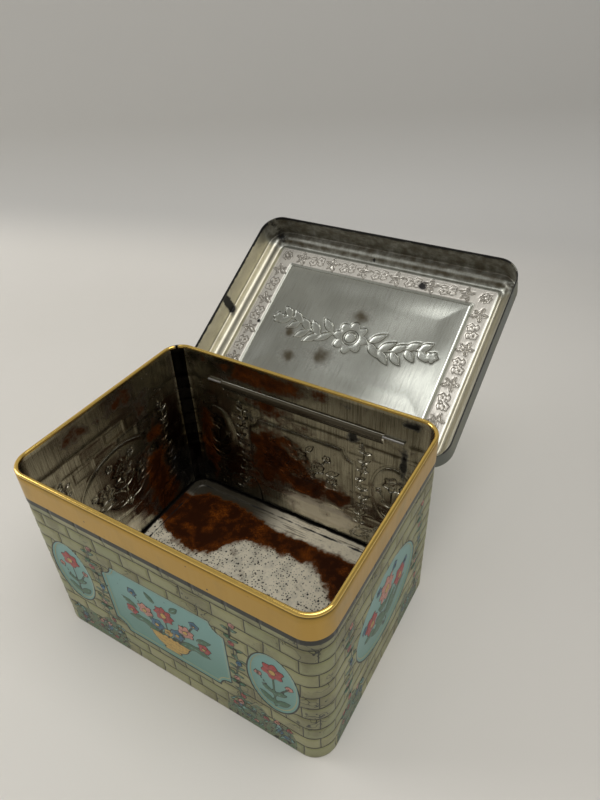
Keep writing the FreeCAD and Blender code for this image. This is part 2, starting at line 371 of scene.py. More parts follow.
class Finish:
    """A material set out by short calls, most of which return a Field."""

    def __init__(self, name):
        self.material = bpy.data.materials.new(name)
        self.material.use_nodes = True
        self.tree = self.material.node_tree
        self.shader = next(n for n in self.tree.nodes if n.type == "BSDF_PRINCIPLED")

    def put(self, socket, value):
        """Link a socket, or set its own value."""
        if isinstance(value, Field):
            self.tree.links.new(value.socket, socket)
        elif socket.type == "RGBA":
            socket.default_value = (*value, 1.0)
        else:
            socket.default_value = value

    def node(self, kind, inputs, output=0, **settings):
        """Add a node with its inputs, by name or number, and its settings."""
        node = self.tree.nodes.new("ShaderNode" + kind)
        for name, value in settings.items():
            setattr(node, name, value)
        for name, value in inputs.items():
            self.put(node.inputs[name], value)
        return Field(self, node.outputs[output])

    def value_of(self, name):
        """A number stored on the points."""
        return self.node("Attribute", {}, output="Fac", attribute_name=name)

    def tint_of(self, name):
        """A colour stored on the points."""
        return self.node("Attribute", {}, output="Color", attribute_name=name)

    def unrolled(self, name):
        """Places on the unrolled sheet, in millimetres."""
        return self.node("UVMap", {}, uv_map=name)

    def own_place(self):
        """Places in the piece's own space, in millimetres."""
        return self.node("TexCoord", {}, output="Object").stretch(MM, MM, MM)

    def bump(self, height, depth):
        """A normal from a height of 0 to 1 and its depth in millimetres."""
        return self.node("Bump", {"Height": height, "Distance": depth / MM, "Strength": 1.0})

    def shade(self, **sockets):
        """Set the shader's sockets and return the material."""
        for name, value in sockets.items():
            self.put(self.shader.inputs[name.replace("_", " ")], value)
        return self.material


def disc(x, z, radius):
    """Distance outside a disc."""
    return np.hypot(x, z) - radius


def oval(x, z, half_x, half_z):
    """About the distance outside an oval."""
    reach = np.hypot(x / half_x, z / half_z)
    slope = np.hypot(x / half_x**2, z / half_z**2)
    return reach * (reach - 1) / np.maximum(slope, 1e-6)


def rectangle(x, z, half_x, half_z):
    """Distance outside a rectangle."""
    over_x = np.abs(x) - half_x
    over_z = np.abs(z) - half_z
    outside = np.hypot(np.maximum(over_x, 0), np.maximum(over_z, 0))
    return outside + np.minimum(np.maximum(over_x, over_z), 0)


def cartouche(x, z, half_x, half_z, notch):
    """Distance outside a rectangle whose corners are scooped out."""
    scoop = disc(np.abs(x) - half_x, np.abs(z) - half_z, notch)
    return np.maximum(rectangle(x, z, half_x, half_z), -scoop)


def turned(x, z, angle):
    """Places seen from axes turned by an angle in degrees."""
    cos, sin = math.cos(math.radians(angle)), math.sin(math.radians(angle))
    return x * cos + z * sin, z * cos - x * sin


def leaf(x, z, reach, half_width, angle):
    """About the distance outside a pointed leaf that grows from the origin at an angle."""
    along, across = turned(x, z, angle)
    share = np.clip(along / reach, 0, 1)
    side = np.abs(across) - half_width * np.sin(math.pi * share**0.85)
    past = np.maximum(np.maximum(-along, along - reach), 0)
    return np.where(past > 0, np.hypot(past, across), side)


def stalk(x, z, end_x, end_z, half_width):
    """Distance outside a straight stalk from the origin."""
    share = np.clip((x * end_x + z * end_z) / (end_x**2 + end_z**2), 0, 1)
    return np.hypot(x - share * end_x, z - share * end_z) - half_width


def rosette(x, z, radius, petals, angle):
    """About the distance outside a round blossom with scalloped petals."""
    turn = np.arctan2(z, x) + math.radians(angle)
    return np.hypot(x, z) - radius * (0.86 + 0.14 * np.cos(petals * turn))


class WallPrint:
    """Layers of the wall's print: distances in millimetres outside the motifs, negative within them."""

    FAR = 8.0
    LAYERS = ("panel", "bowl", "leaf", "vein", "bloom", "petal", "heart", "hedge")
    STONE_DEPTH, JOINT_DEPTH, PANEL_DEPTH, DEEPEST = 0.12, 0.42, 0.85, 1.1
    HEDGE_DEPTH, HEDGE_TANGLE = 0.28, 0.22
    BOWL_RISE, LEAF_RISE, BLOOM_RISE, HEART_GROOVE = 0.5, 0.3, 0.6, 0.22

    def __init__(self, along, up, lap, colours):
        self.along, self.up = along, up
        self.lap = lap
        self.colours = colours
        self.middle = 0.0
        self.layers = {name: np.full(along.shape, self.FAR) for name in self.LAYERS}
        self.tint = np.tile(np.array(colours.pink), along.shape + (1,))
        self.draw = np.random.default_rng(11)

    def add(self, layer, distance):
        """Add a motif to a layer."""
        self.layers[layer] = np.minimum(self.layers[layer], distance)

    def local(self, x, z):
        """Places measured from a point x to the right of the face's middle and z above the foot."""
        offset = (self.along - self.middle - x + self.lap / 2) % self.lap - self.lap / 2
        return offset, self.up - z

    def blossom(self, x, z, radius, petals, tint):
        """A blossom with its heart."""
        here_x, here_z = self.local(x, z)
        distance = rosette(here_x, here_z, radius, petals, 20 * x)
        nearer = distance < self.layers["bloom"]
        self.tint[nearer] = getattr(self.colours, tint)
        turn = np.arctan2(here_z, here_x) + math.radians(20 * x)
        between = np.hypot(here_x, here_z) * np.abs(np.cos(petals * turn / 2)) * 2 / petals
        self.layers["petal"][nearer] = between[nearer]
        self.add("bloom", distance)
        self.add("heart", disc(here_x, here_z, radius * 0.3))

    def leaves(self, x, z, reach, angles):
        """Leaves that grow from one point."""
        here_x, here_z = self.local(x, z)
        for angle in angles:
            self.add("leaf", leaf(here_x, here_z, reach, reach * 0.2, angle))
            end_x = 0.8 * reach * math.cos(math.radians(angle))
            end_z = 0.8 * reach * math.sin(math.radians(angle))
            self.add("vein", stalk(here_x, here_z, end_x, end_z, 0))

    def stem(self, x, z, end_x, end_z):
        """A stem from one point to another."""
        self.add("leaf", stalk(*self.local(x, z), end_x - x, end_z - z, 0.5))

    def flower_bowl(self):
        """A scooped panel with a bowl of flowers."""
        self.add("panel", cartouche(*self.local(0, 55), 41, 29, 8))
        x, z = self.local(0, 42)
        basin = np.maximum(oval(x, z, 13, 11), z)
        self.add("bowl", np.minimum(basin, rectangle(x, z - 0.6, 14.5, 1.3)))
        self.add("bowl", np.minimum(rectangle(x, z + 11.2, 6, 1.2), rectangle(x, z + 9, 2.2, 2.4)))
        for x, z, radius, petals, tint in (
            (0, 64, 7.2, 8, "red"), (-14, 59, 5.8, 6, "pink"), (14, 59, 5.8, 6, "pink"),
            (-7, 51, 5, 5, "blue"), (7, 51, 5, 5, "blue"), (0, 48, 3.6, 5, "ochre"),
            (-25, 52, 4.6, 5, "red"), (25, 52, 4.6, 5, "red"),
            (-21, 70, 3.6, 5, "blue"), (21, 70, 3.6, 5, "blue"),
        ):
            self.stem(0.3 * x, 43, x, z)
            self.blossom(x, z, radius, petals, tint)
        for side in (-1, 1):
            for x, z, reach, angle in (
                (8, 44, 15, 18), (10, 54, 11, 75), (20, 56, 12, 25), (16, 47, 13, -8), (5, 70, 10, 50),
            ):
                self.leaves(side * x, z, reach, [angle if side > 0 else 180 - angle])

    def single_flower(self, x):
        """An upright oval with one flower on its stem."""
        self.add("panel", oval(*self.local(x, 58), 15, 25))
        self.stem(x, 36, x, 66)
        self.leaves(x, 38, 12, (40, 140))
        self.leaves(x, 48, 9, (28, 152))
        self.blossom(x, 68, 7, 6, "red")
        for bud in (x - 9, x + 9):
            self.stem(x, 46, bud, 60)
            self.blossom(bud, 60, 2.6, 5, "pink")

    def spray(self):
        """A lying oval with a spray of three flowers."""
        self.add("panel", oval(*self.local(0, 57), 37, 29))
        for end, height, radius, petals, tint in (
            (0, 67, 9.5, 8, "pink"), (-18, 58, 7.5, 6, "red"), (18, 58, 7.5, 6, "red"),
        ):
            self.stem(0, 34, end, height)
            self.blossom(end, height, radius, petals, tint)
        for end, height in ((-26, 62), (26, 62), (-10, 75), (10, 75)):
            self.blossom(end, height, 3.2, 5, "blue")
        self.leaves(0, 40, 19, (18, 50, 130, 162))
        self.leaves(0, 52, 13, (40, 140))
        self.leaves(-14, 48, 13, [170])
        self.leaves(14, 48, 13, [10])

    def hedge(self, low, high):
        """A hedge along the foot, with many small blossoms."""
        tints = ("red", "pink", "blue", "ochre", "panel", "red")
        for x in np.arange(low, high, 5.0):
            self.add("hedge", oval(*self.local(x, 5), 7.5, self.draw.uniform(11, 21)))
        for k in range(int((high - low) / 1.6)):
            x, z = self.draw.uniform(low - 4, high + 2), self.draw.uniform(4.5, 21)
            self.leaves(x, z, 4.6, self.draw.uniform(0, 360, 2))
            if k % 3:
                self.blossom(x + 1, z + 1, self.draw.uniform(1.5, 2.5), 5, tints[k % len(tints)])

    def vine(self, x):
        """A climbing stem with small leaves and blossoms."""
        for k in range(10):
            low, high = 14 + 8 * k, 22 + 8 * k
            here, after = x + 1.6 * math.sin(1.3 * k), x + 1.6 * math.sin(1.3 * k + 1.3)
            self.stem(here, low, after, high)
            self.leaves(here, low, 6.0, (25, 160) if k % 2 else (15, 140))
            if k % 2:
                self.blossom(after, high - 3, 2.3, 5, ("pink", "red", "blue")[k % 3])

    def lay_out(self, left, front, right, back):
        """The same design on both long faces and both short ones."""
        for middle in (front, back):
            self.middle = middle
            self.flower_bowl()
            for side in (-1, 1):
                self.single_flower(side * 68)
                self.vine(side * 46.5)
                self.hedge(*sorted((side * 42, side * 76)))
        for middle in (left, right):
            self.middle = middle
            self.spray()
            for side in (-1, 1):
                self.vine(side * 44)
                self.hedge(*sorted((side * 30, side * 50)))

    def inset(self, course, stone):
        """How far the sheet lies in from the outermost relief, in millimetres."""
        row = np.floor(self.up / course)
        shifted = self.along + np.where(row % 2 == 0, stone / 2, 0)
        to_course = np.abs((self.up / course + 0.5) % 1 - 0.5) * course
        to_joint = np.minimum(to_course, np.abs((shifted / stone + 0.5) % 1 - 0.5) * stone)
        depth = self.STONE_DEPTH + self.JOINT_DEPTH * np.exp(-((to_joint / 1.2) ** 2))
        hedge = smooth(self.layers["hedge"], 0.5, -1.5)
        tangle = ripple(self.along, self.up, 5.5, 3) * ripple(self.along, self.up, 7, 4)
        depth = depth + hedge * (self.HEDGE_DEPTH + self.HEDGE_TANGLE * np.clip(tangle, -1, 1) - depth)
        panel = self.layers["panel"]
        depth = depth + smooth(panel, 0.7, -1.2) * (self.PANEL_DEPTH - depth)
        depth = depth * (1 - np.exp(-((panel / 1.4) ** 2)))
        depth = depth - self.BOWL_RISE * smooth(self.layers["bowl"], 0.5, -1.5)
        depth = depth - self.LEAF_RISE * smooth(self.layers["leaf"], 0.5, -0.9)
        depth = depth - self.BLOOM_RISE * smooth(self.layers["bloom"], 0.4, -2.0)
        depth = depth + self.HEART_GROOVE * np.exp(-(((self.layers["heart"] - 0.7) / 0.7) ** 2))
        return np.clip(depth, 0, self.DEEPEST)


def printed_wall_finish(colours, sizes):
    """Satin print of stones with flower panels, on embossed tin."""
    finish = Finish("printed_tin")
    place = finish.unrolled("wall_map")
    height = place.part(1)
    cloud = place.noise(0.045, 5)
    grain = place.noise(0.6, 3)
    wander = finish.node("TexNoise", {"Vector": place, "Scale": 0.11, "Detail": 2.0}, output="Color")
    drawn = finish.node("VectorMath", {0: wander.stretch(0.9, 0.9, 0), 1: place}, operation="ADD")

    def bricks(mortar, softness):
        """The stones, and 1 on the mortar between them."""
        pattern = {
            "Vector": drawn, "Color1": colours.stone, "Color2": colours.stone_green, "Mortar": colours.stone,
            "Scale": 1.0, "Mortar Size": mortar, "Mortar Smooth": softness, "Bias": 0.0,
            "Brick Width": sizes.stone * MM, "Row Height": sizes.course * MM,
        }
        stones = finish.node("TexBrick", pattern)
        return stones, Field(finish, stones.socket.node.outputs["Fac"])

    stones, joint = bricks(sizes.joint * MM, 0.3)
    _, margin = bricks(sizes.joint * MM * 6, 1.0)
    crack = abs(place.noise(0.09, 2) - 0.5).step(0.012, 0.004) * cloud.step(0.5, 0.58)
    ink = stones.over(cloud.step(0.42, 0.68), colours.stone_shade)
    ink = ink.over(grain.step(0.48, 0.7) * 0.4, colours.stone_green)
    # Painted shade: each stone is coloured darker towards its joints, as the shade of its cushioned relief.
    ink = ink.over(margin * 0.4, colours.stone_shade)
    ink = ink.over(joint.most(crack), colours.line)

    hedge, panel = finish.value_of("hedge"), finish.value_of("panel")
    tangle = finish.node("TexVoronoi", {"Vector": place, "Scale": 0.55}, output="Distance")
    bush = tangle.step(0.25, 0.75).tint(colours.leaf, colours.stone_shade)
    ink = ink.over(hedge.step(0.3, -0.3), bush.over(tangle.step(0.62, 0.8), colours.line))
    ground = height.step(30, 80).tint(colours.leaf, colours.panel).over(0.6, colours.panel)
    ink = ink.over(panel.step(0.1, -0.1), ground)
    ink = ink.over(panel.ring(0.0, 0.42), colours.line)
    ink = ink.over(panel.ring(-1.7, 0.25), colours.stone)
    for layer, fill, outline in (
        ("bowl", colours.ochre, 0.3), ("leaf", colours.leaf, 0.16), ("bloom", finish.tint_of("tint"), 0.24),
        ("heart", colours.ochre, 0.16),
    ):
        distance = finish.value_of(layer)
        ink = ink.over(distance.step(0.1, -0.1), (grain.step(0.4, 0.7) * 0.35).tint(fill, colours.line))
        ink = ink.over(distance.ring(0.0, outline), colours.line)
        if layer == "leaf":
            ink = ink.over(finish.value_of("vein").step(0.4, 0.1), colours.panel)
        if layer == "bloom":
            petal = finish.value_of("petal").step(0.5, 0.15) * distance.step(0.0, -0.4)
            ink = ink.over(petal * 0.6, colours.line)

    line_bottom = sizes.line_bottom * MM
    ink = ink.over(height.step(line_bottom - 0.1, line_bottom + 0.1), colours.line)
    ink = ink.over(place.specks(0.16, 0.1) * cloud.step(0.5, 0.62), colours.grime_and_shade_colour)
    on_stone = panel.step(0.0, 0.6) * hedge.step(0.0, 0.6)
    cushion = margin * -1.0 * on_stone
    return finish.shade(
        Base_Color=ink, Roughness=cloud.between(0.3, 0.46), Specular_IOR_Level=0.35,
        Normal=finish.bump(cushion + place.noise(2.2, 2) * 0.06, 0.35),
    )


def gold_finish(colours):
    """Gold lacquer over tin with small rubbed specks, dark round the rim's notch, paler on the curled rim as
    a painted highlight and black in the crease below the rim as painted shade.
    """
    finish = Finish("gold_lacquer")
    place = finish.own_place()
    dull = place.stretch(1, 1, 0.15).noise(0.5, 3)
    bead = finish.value_of("bead")
    base = (place.noise(0.06, 4).step(0.45, 0.75) * 0.25).tint(colours.gold, colours.stone_shade)
    # Painted highlight: the curled rim is coloured a paler gold.
    base = base.over(bead, colours.rim_highlight_gold)
    # Painted shade: the crease below the rim turns black with the rubbed specks.
    specks_and_crease_shade = (place.specks(0.14, 0.09) * dull.step(0.45, 0.6)).most(finish.value_of("worn"))
    return finish.shade(
        Base_Color=base.over(specks_and_crease_shade, colours.grime_and_shade_colour), Metallic=specks_and_crease_shade.between(0.95, 0.1),
        Roughness=bead.between(dull.between(0.28, 0.42), 0.13), Normal=finish.bump(dull, 0.03),
    )


def rusted(finish, place, base, gloss, colours):
    """Rust and black stains over bare metal: colour, metal share, roughness and height of the crust."""
    crumbs = place.noise(2.2, 4, 0.7)
    spread = (place.noise(0.085, 7, 0.62) - 0.5) * 1.8
    field = finish.value_of("rust") + spread
    film = field.step(0.08, 0.55)
    crust = field.step(0.38, 0.6)
    margin = field.step(0.3, 0.46) * field.step(0.85, 0.5)
    fresh = crumbs.step(0.52, 0.62) * (margin * 0.8)
    glow = place.noise(0.075, 5, 0.62).step(0.45, 0.66) * crumbs.step(0.46, 0.6) * (crust * 0.85)
    black = (finish.value_of("stain") + spread * 0.8).step(0.3, 0.66)
    ink = base.over(film, colours.rust_film).over(crust, colours.rust)
    ink = ink.over(fresh.most(glow), colours.fresh_rust).over(black, colours.grime_and_shade_colour)
    metal = black.between(crust.between(film.between(1.0, 0.8), 0.2), 0.35)
    rough = crust.between(film.between(gloss, 0.4), 0.55)
    return ink, metal, rough, crust * crumbs


def embossed(finish):
    """The motifs' relief as seen from inside, 0 to -1."""
    depth = finish.value_of("leaf").step(0.35, -0.5)
    for layer, reach in (("bowl", -1.0), ("bloom", -1.2), ("hedge", -1.6)):
        depth = depth.most(finish.value_of(layer).step(0.4, reach))
    depth = depth - finish.value_of("vein").step(0.45, 0.1) * 0.4
    depth = depth - finish.value_of("petal").step(0.5, 0.1) * 0.4
    border = finish.value_of("panel").ring(0.0, 0.9)
    return (depth.most(border) - finish.value_of("heart").ring(0.5, 0.5)) * -1.0


def inner_wall_finish(colours):
    """Bare tin inside the wall: faint drawn lines, tarnishing darkened by painted shade, a pale painted
    reflection low on the walls, rust, black stains and the dark side seam.
    """
    finish = Finish("bare_tin_inside")
    place = finish.unrolled("wall_map")
    streaks = place.stretch(1.0, 0.03, 1).noise(1.3)
    # Tarnishing with painted shade, turning black where it is heaviest.
    dim = finish.value_of("dim") + (place.noise(0.04, 6, 0.6) - 0.5)
    painted_reflection_patch = dim.step(-0.25, -0.8)
    base = (streaks.step(0.4, 0.7) * 0.6).tint(colours.tin, colours.tarnish_and_shade_colour)
    base = base.over(dim.step(0.0, 0.62), colours.tarnish_and_shade_colour).over(dim.step(0.6, 1.1), colours.grime_and_shade_colour)
    # Painted reflection: a pale, less metallic patch low on the back and left walls.
    base = base.over(painted_reflection_patch, colours.plate)
    ink, metal, rough, crust = rusted(finish, place, base, streaks.between(0.16, 0.3), colours)
    return finish.shade(
        Base_Color=ink.over(finish.value_of("seam").step(0.4, 0.6), colours.grime_and_shade_colour),
        Metallic=metal * painted_reflection_patch.between(1.0, 0.3), Roughness=rough,
        Specular_IOR_Level=crust.step(0.0, 0.3).between(0.5, 0.1),
        Normal=finish.bump(crust * 0.16 + streaks * 0.03 + embossed(finish), 0.95),
    )


def bottom_finish(colours):
    """Pale mottled tin with many small black dots and a band of rust, a paler streaky strip at the back
    painted as a sheen, and painted shade towards the back left where the plate mirrors the dark wall.
    """
    finish = Finish("bottom_tin")
    place = finish.own_place()
    mottle = place.noise(0.12, 5, 0.6)
    streaks = place.stretch(0.06, 1, 1).noise(0.7)
    sheen_and_streaks, painted_corner_shade = finish.value_of("streak"), finish.value_of("shade")
    # Painted sheen: the strip at the back is paler, with fewer dots and some streaks.
    base = (mottle.step(0.4, 0.66) * sheen_and_streaks.between(0.55, 0.1)).tint(colours.plate, colours.tin)
    base = base.over(streaks.step(0.54, 0.64) * sheen_and_streaks * 0.8, colours.tarnish_and_shade_colour)
    # Painted shade: towards the back left the plate is coloured dark, for the dark wall that it mirrors.
    base = base.over(painted_corner_shade, colours.tarnish_and_shade_colour).over(painted_corner_shade * 0.6, colours.grime_and_shade_colour)
    fine = place.specks(0.5, 0.31) * mottle.step(0.34, 0.5)
    coarse = place.specks(0.24, 0.22) * mottle.step(0.42, 0.5)
    base = base.over(fine.most(coarse) * sheen_and_streaks.between(1.0, 0.15), colours.grime_and_shade_colour)
    ink, metal, rough, crust = rusted(finish, place, base, mottle.between(0.2, 0.42), colours)
    return finish.shade(
        Base_Color=ink, Metallic=metal * 0.2, Roughness=rough,
        Specular_IOR_Level=crust.step(0.0, 0.3).between(0.3, 0.08),
        Normal=finish.bump(crust + streaks * 0.08, 0.2),
    )


# Distances in from the lid's outline, in millimetres
FRIEZE_START, FRIEZE_END, PANEL_START = 13.6, 24.5, 27.1
RIB_MIDDLE = (FRIEZE_END + PANEL_START) / 2
PANEL_LINE = PANEL_START - 0.2
PRINTED_LINES = (FRIEZE_START - 0.3, FRIEZE_END + 0.3, PANEL_LINE)


def lid_inside_finish(colours):
    """Bright bare tin inside the lid, with a paler frieze, tarnished edges and black stains, and painted
    shade: heavier tarnishing on the far skirt and dark lines along the embossed motifs and the rib.
    """
    finish = Finish("bright_tin")
    place = finish.own_place()
    streaks = place.stretch(1.0, 0.05, 0.05).noise(1.1)
    uneven = place.noise(0.16, 6, 0.62) - 0.5
    frieze, motif, inset = [finish.value_of(name) for name in ("frieze", "motif", "inset")]
    film = (finish.value_of("film") + uneven).step(0.05, 0.95)
    eaten = (finish.value_of("stain") + uneven).step(0.36, 0.62)
    edges = inset.ring(RIB_MIDDLE, 1.4).most(inset.step(FRIEZE_START + 0.3, FRIEZE_START - 0.3))
    ink = frieze.tint(colours.bright_tin, colours.frieze).over(finish.value_of("warm"), colours.warm_tin)
    ink = ink.over(streaks.step(0.45, 0.75) * 0.2, colours.tarnish_and_shade_colour)
    # Painted shade: a dark line along the edges of the embossed motifs.
    ink = ink.over(motif.ring(0.3, 0.25) * 0.6, colours.tarnish_and_shade_colour)
    ink = ink.over(film, colours.tarnish_and_shade_colour).over(eaten, colours.grime_and_shade_colour)
    # Painted shade: the rib between the frieze and the panel is coloured darker.
    ink = ink.over(inset.ring(RIB_MIDDLE, 1.3) * 0.3, colours.tarnish_and_shade_colour)
    gloss = edges.between(place.noise(0.03).step(0.35, 0.65).between(0.2, 0.24), 0.38)
    metal = eaten.between(film.between(frieze.between(1.0, 0.45), 0.35), 0.25)
    return finish.shade(
        Base_Color=ink, Metallic=metal, Roughness=eaten.between(gloss, 0.55),
        Normal=finish.bump(streaks * 0.02 + motif.step(-0.35, 0.35), 0.8),
    )


def lid_outside_finish(colours):
    """Satin print on the lid's outside: a plain skirt, a leafy border and a blue-green panel."""
    finish = Finish("lid_print")
    place = finish.own_place()
    cloud = place.noise(0.05, 5)
    grain = place.noise(0.7, 3)
    soft = cloud.step(0.35, 0.75) * 0.5
    inset, motif = finish.value_of("inset"), finish.value_of("motif")
    ink = soft.tint(colours.lid_print, colours.stone_shade)
    ink = ink.over(finish.value_of("frieze"), soft.tint(colours.stone, colours.stone_green))
    ink = ink.over(inset.step(PANEL_LINE, PANEL_LINE + 0.3), (soft * 0.5).tint(colours.panel, colours.leaf))
    fill = finish.value_of("bloom").step(0.3, -0.3).tint(colours.leaf, colours.red)
    ink = ink.over(motif.step(0.2, -0.2), fill)
    ink = ink.over(motif.ring(0.0, 0.2), colours.line)
    for line in PRINTED_LINES:
        ink = ink.over(inset.ring(line, 0.22), colours.line)
    ink = ink.over(grain.step(0.5, 0.7) * 0.2, colours.stone_shade)
    worn = finish.value_of("worn") + (grain - 0.5)
    return finish.shade(
        Base_Color=ink.over(worn.step(0.7, 1.0), colours.grime_and_shade_colour), Roughness=cloud.between(0.3, 0.45),
        Specular_IOR_Level=0.35, Normal=finish.bump(grain, 0.02),
    )


def wire_finish(colours):
    """Drawn steel wire with fine lengthwise lines."""
    finish = Finish("drawn_steel")
    place = finish.own_place()
    lines = place.stretch(0.05, 1, 1).noise(2.0, 3)
    base = (lines * 0.4).tint(colours.steel, colours.stone_shade)
    base = base.over(place.specks(0.25, 0.14), colours.rust)
    return finish.shade(
        Base_Color=base, Metallic=1.0, Roughness=lines.between(0.2, 0.4), Normal=finish.bump(lines, 0.02)
    )


def floor_finish(colours):
    """Pale matt table with painted shade: it turns grey towards the back, towards the right and up its
    backdrop.
    """
    finish = Finish("pale_table")
    place = finish.own_place()
    grain = place.noise(0.4, 2)
    base = (place.noise(0.004, 3) * 0.1).tint(colours.floor, colours.stone)
    # Painted shade of the lamps' falloff: the grey grows with height, distance back and distance to the
    # right.
    slope = {0: place, 1: (0.3, 0.35, 5.0)}
    away = finish.node("VectorMath", slope, output="Value", operation="DOT_PRODUCT")
    return finish.shade(
        Base_Color=base.over(away.step(40, 330), colours.backdrop), Roughness=grain.between(0.5, 0.62),
        Normal=finish.bump(grain, 0.02),
    )


class TINBOX_OT_wall(Operator):
    """Make the printed, embossed wall with its gold band, curled rim, foot, side seam and hinge slot"""

    bl_idname = "tinbox.wall"
    bl_label = "Printed Wall"

    PRINT, GOLD, INSIDE = 0, 1, 2
    BEND, BEND_MIDDLE = 0.45, 0.13
    SEAM_SLOPE, NOTCH_SLOPE, LEAST_GAP = 0.15, 0.2, 0.45
    NOTCH_DROP = 0.44
    GOLD_RIM_ROWS = 12
    FLAT_REACH = 78

    def columns(self, sizes, stops, slot_middle):
        """Distances along the wall at which the mesh has columns, closer where edges need them."""
        even = np.linspace(0, stops[-1], round(stops[-1] / (sizes.grid * MM)), endpoint=False)
        half_slot = sizes.slot_length * MM / 2
        half_seam = sizes.seam_width * MM / 2
        half_notch = sizes.seam_notch * MM / 2
        exact = [slot_middle - half_slot, slot_middle + half_slot]
        notch_edges = [half_notch - self.NOTCH_SLOPE, half_notch]
        seam_edges = [half_seam - self.SEAM_SLOPE, half_seam + self.SEAM_SLOPE]
        for edge in notch_edges + seam_edges:
            exact += [edge, stops[-1] - edge]
        exact = np.array(exact + [0.0])
        clear = np.min(np.abs(even[:, None] - exact[None, :]), axis=1) > self.LEAST_GAP
        return np.sort(np.concatenate([even[clear], exact]))

    def sections(self, sizes):
        """Matching outer and inner rows (inset, height) below the rim, and the rows round the curled rim."""
        sheet, foot, radius = sizes.sheet * MM, sizes.foot * MM, sizes.bead * MM / 2
        low, high, gold = sizes.slot_bottom * MM, sizes.slot_top * MM, sizes.gold_bottom * MM
        axis = WALL_HIGH.z * MM - radius
        bend, middle = self.BEND, self.BEND_MIDDLE
        levels = np.concatenate([
            np.linspace(1.4, low, round(low / (sizes.grid * MM))),
            np.linspace(low, high, 6)[1:],
            np.linspace(high, gold, 3)[1:],
            np.linspace(gold, axis - 1.9, 6)[1:],
        ])
        crease = [(0.2, axis - 1.5), (0.5, axis - 1.1), (0.34, axis - 0.5)]
        outer = [(foot, 0), (foot / 2, 0), (bend, 0), (middle, middle), (0, bend)]
        outer += [(0, z) for z in levels] + crease
        inner = [(foot, sheet), (foot / 2, sheet), (bend + sheet, sheet), (middle + sheet, middle + sheet)]
        inner.append((sheet, bend + sheet))
        inner += [(sheet, z) for z in levels] + [(inset + sheet, z) for inset, z in crease]
        rim = []
        for size, angles in ((radius, np.linspace(0, 270, 16)), (radius - sheet, np.linspace(270, 0, 9))):
            rim += [(radius - size * math.cos(a), axis + size * math.sin(a)) for a in np.radians(angles)]
        return np.array(outer), np.array(inner), np.array(rim)

    def execute(self, context):
        sizes, colours = context.scene.tinbox_sizes, context.scene.tinbox_colours
        length, depth = (WALL_HIGH.x - WALL_LOW.x) * MM, (WALL_HIGH.y - WALL_LOW.y) * MM
        corner = sizes.corner * MM
        stops = lap_lengths(length, depth, corner)
        total = stops[-1]
        left, front, right, back = [(stops[k] + stops[k + 1]) / 2 for k in (1, 3, 5, 7)]
        along = self.columns(sizes, stops, back)
        lap = np.interp(along, stops, LAP_STOPS)
        outer, inner, rim = self.sections(sizes)
        rows, columns = len(outer), len(along)

        heights = outer[:, 1][:, None]
        pattern = WallPrint(along[None, :] + 0 * heights, heights + 0 * along[None, :], total, colours)
        pattern.lay_out(left, front, right, back)
        printed_top = sizes.line_bottom * MM
        weight = smooth(heights, 1.2, 4.5) * smooth(heights, printed_top, printed_top - 3)
        slot_low, slot_high = sizes.slot_bottom * MM, sizes.slot_top * MM
        near_hinge = smooth(np.abs(along - back), self.FLAT_REACH, self.FLAT_REACH - 3)[None, :]
        near_hinge = near_hinge * smooth(heights, slot_low - 8, slot_low - 4)
        relief = pattern.inset(sizes.course * MM, sizes.stone * MM) * weight * (1 - near_hinge)

        from_seam = np.minimum(along, total - along)
        half_seam, half_notch = sizes.seam_width * MM / 2, sizes.seam_notch * MM / 2
        band = smooth(from_seam, half_seam + self.SEAM_SLOPE, half_seam - self.SEAM_SLOPE)
        band = band * sizes.seam_fold * MM
        notch = smooth(from_seam, half_notch, half_notch - self.NOTCH_SLOPE)
        outer_inset = outer[:, 0][:, None] + relief
        outer_height = heights + 0 * relief
        inner_inset = inner[:, 0][:, None] + relief + band * (inner[:, 1] > 1.0)[:, None]
        inner_height = inner[:, 1][:, None] + 0 * relief
        skin = sizes.sheet * MM
        cut_inset = np.minimum(rim[:, 0], skin)[:, None]
        cut_top = WALL_HIGH.z * MM - self.NOTCH_DROP
        cut_height = np.where(rim[:, 0] < skin, rim[:, 1], cut_top)[:, None]
        rim_inset = rim[:, 0][:, None] * (1 - notch) + cut_inset * notch
        rim_height = rim[:, 1][:, None] * (1 - notch) + cut_height * notch
        inset = np.concatenate([outer_inset, rim_inset, inner_inset[::-1]])
        height = np.concatenate([outer_height, rim_height, inner_height[::-1]])
        x, y = lap_point(lap[None, :] + 0 * inset, length / 2 - corner, depth / 2 - corner, corner - inset)
        points = np.stack([x, y, height], -1).reshape(-1, 3)

        loops = len(inset)
        index = np.arange(loops * columns).reshape(loops, columns)
        below, above = index, np.roll(index, -1, axis=0)
        faces = np.stack([below, np.roll(below, -1, 1), np.roll(above, -1, 1), above], -1)
        kinds = np.full(loops, self.INSIDE)
        gold_row = nearest(heights[:, 0], sizes.gold_bottom * MM)
        kinds[:gold_row] = self.PRINT
        kinds[gold_row:rows + self.GOLD_RIM_ROWS] = self.GOLD
        kinds = np.repeat(kinds[:, None], columns, 1)
        half_slot = sizes.slot_length * MM / 2
        ends = [nearest(along, place) for place in (back - half_slot, back + half_slot)]
        levels = [nearest(heights[:, 0], level) for level in (slot_low, slot_high)]
        kept, edges = self.cut_slot(index, rows, *ends, *levels)
        all_faces = np.concatenate([faces[kept], np.array(edges)])
        all_kinds = np.concatenate([kinds[kept], np.full(len(edges), self.INSIDE)])

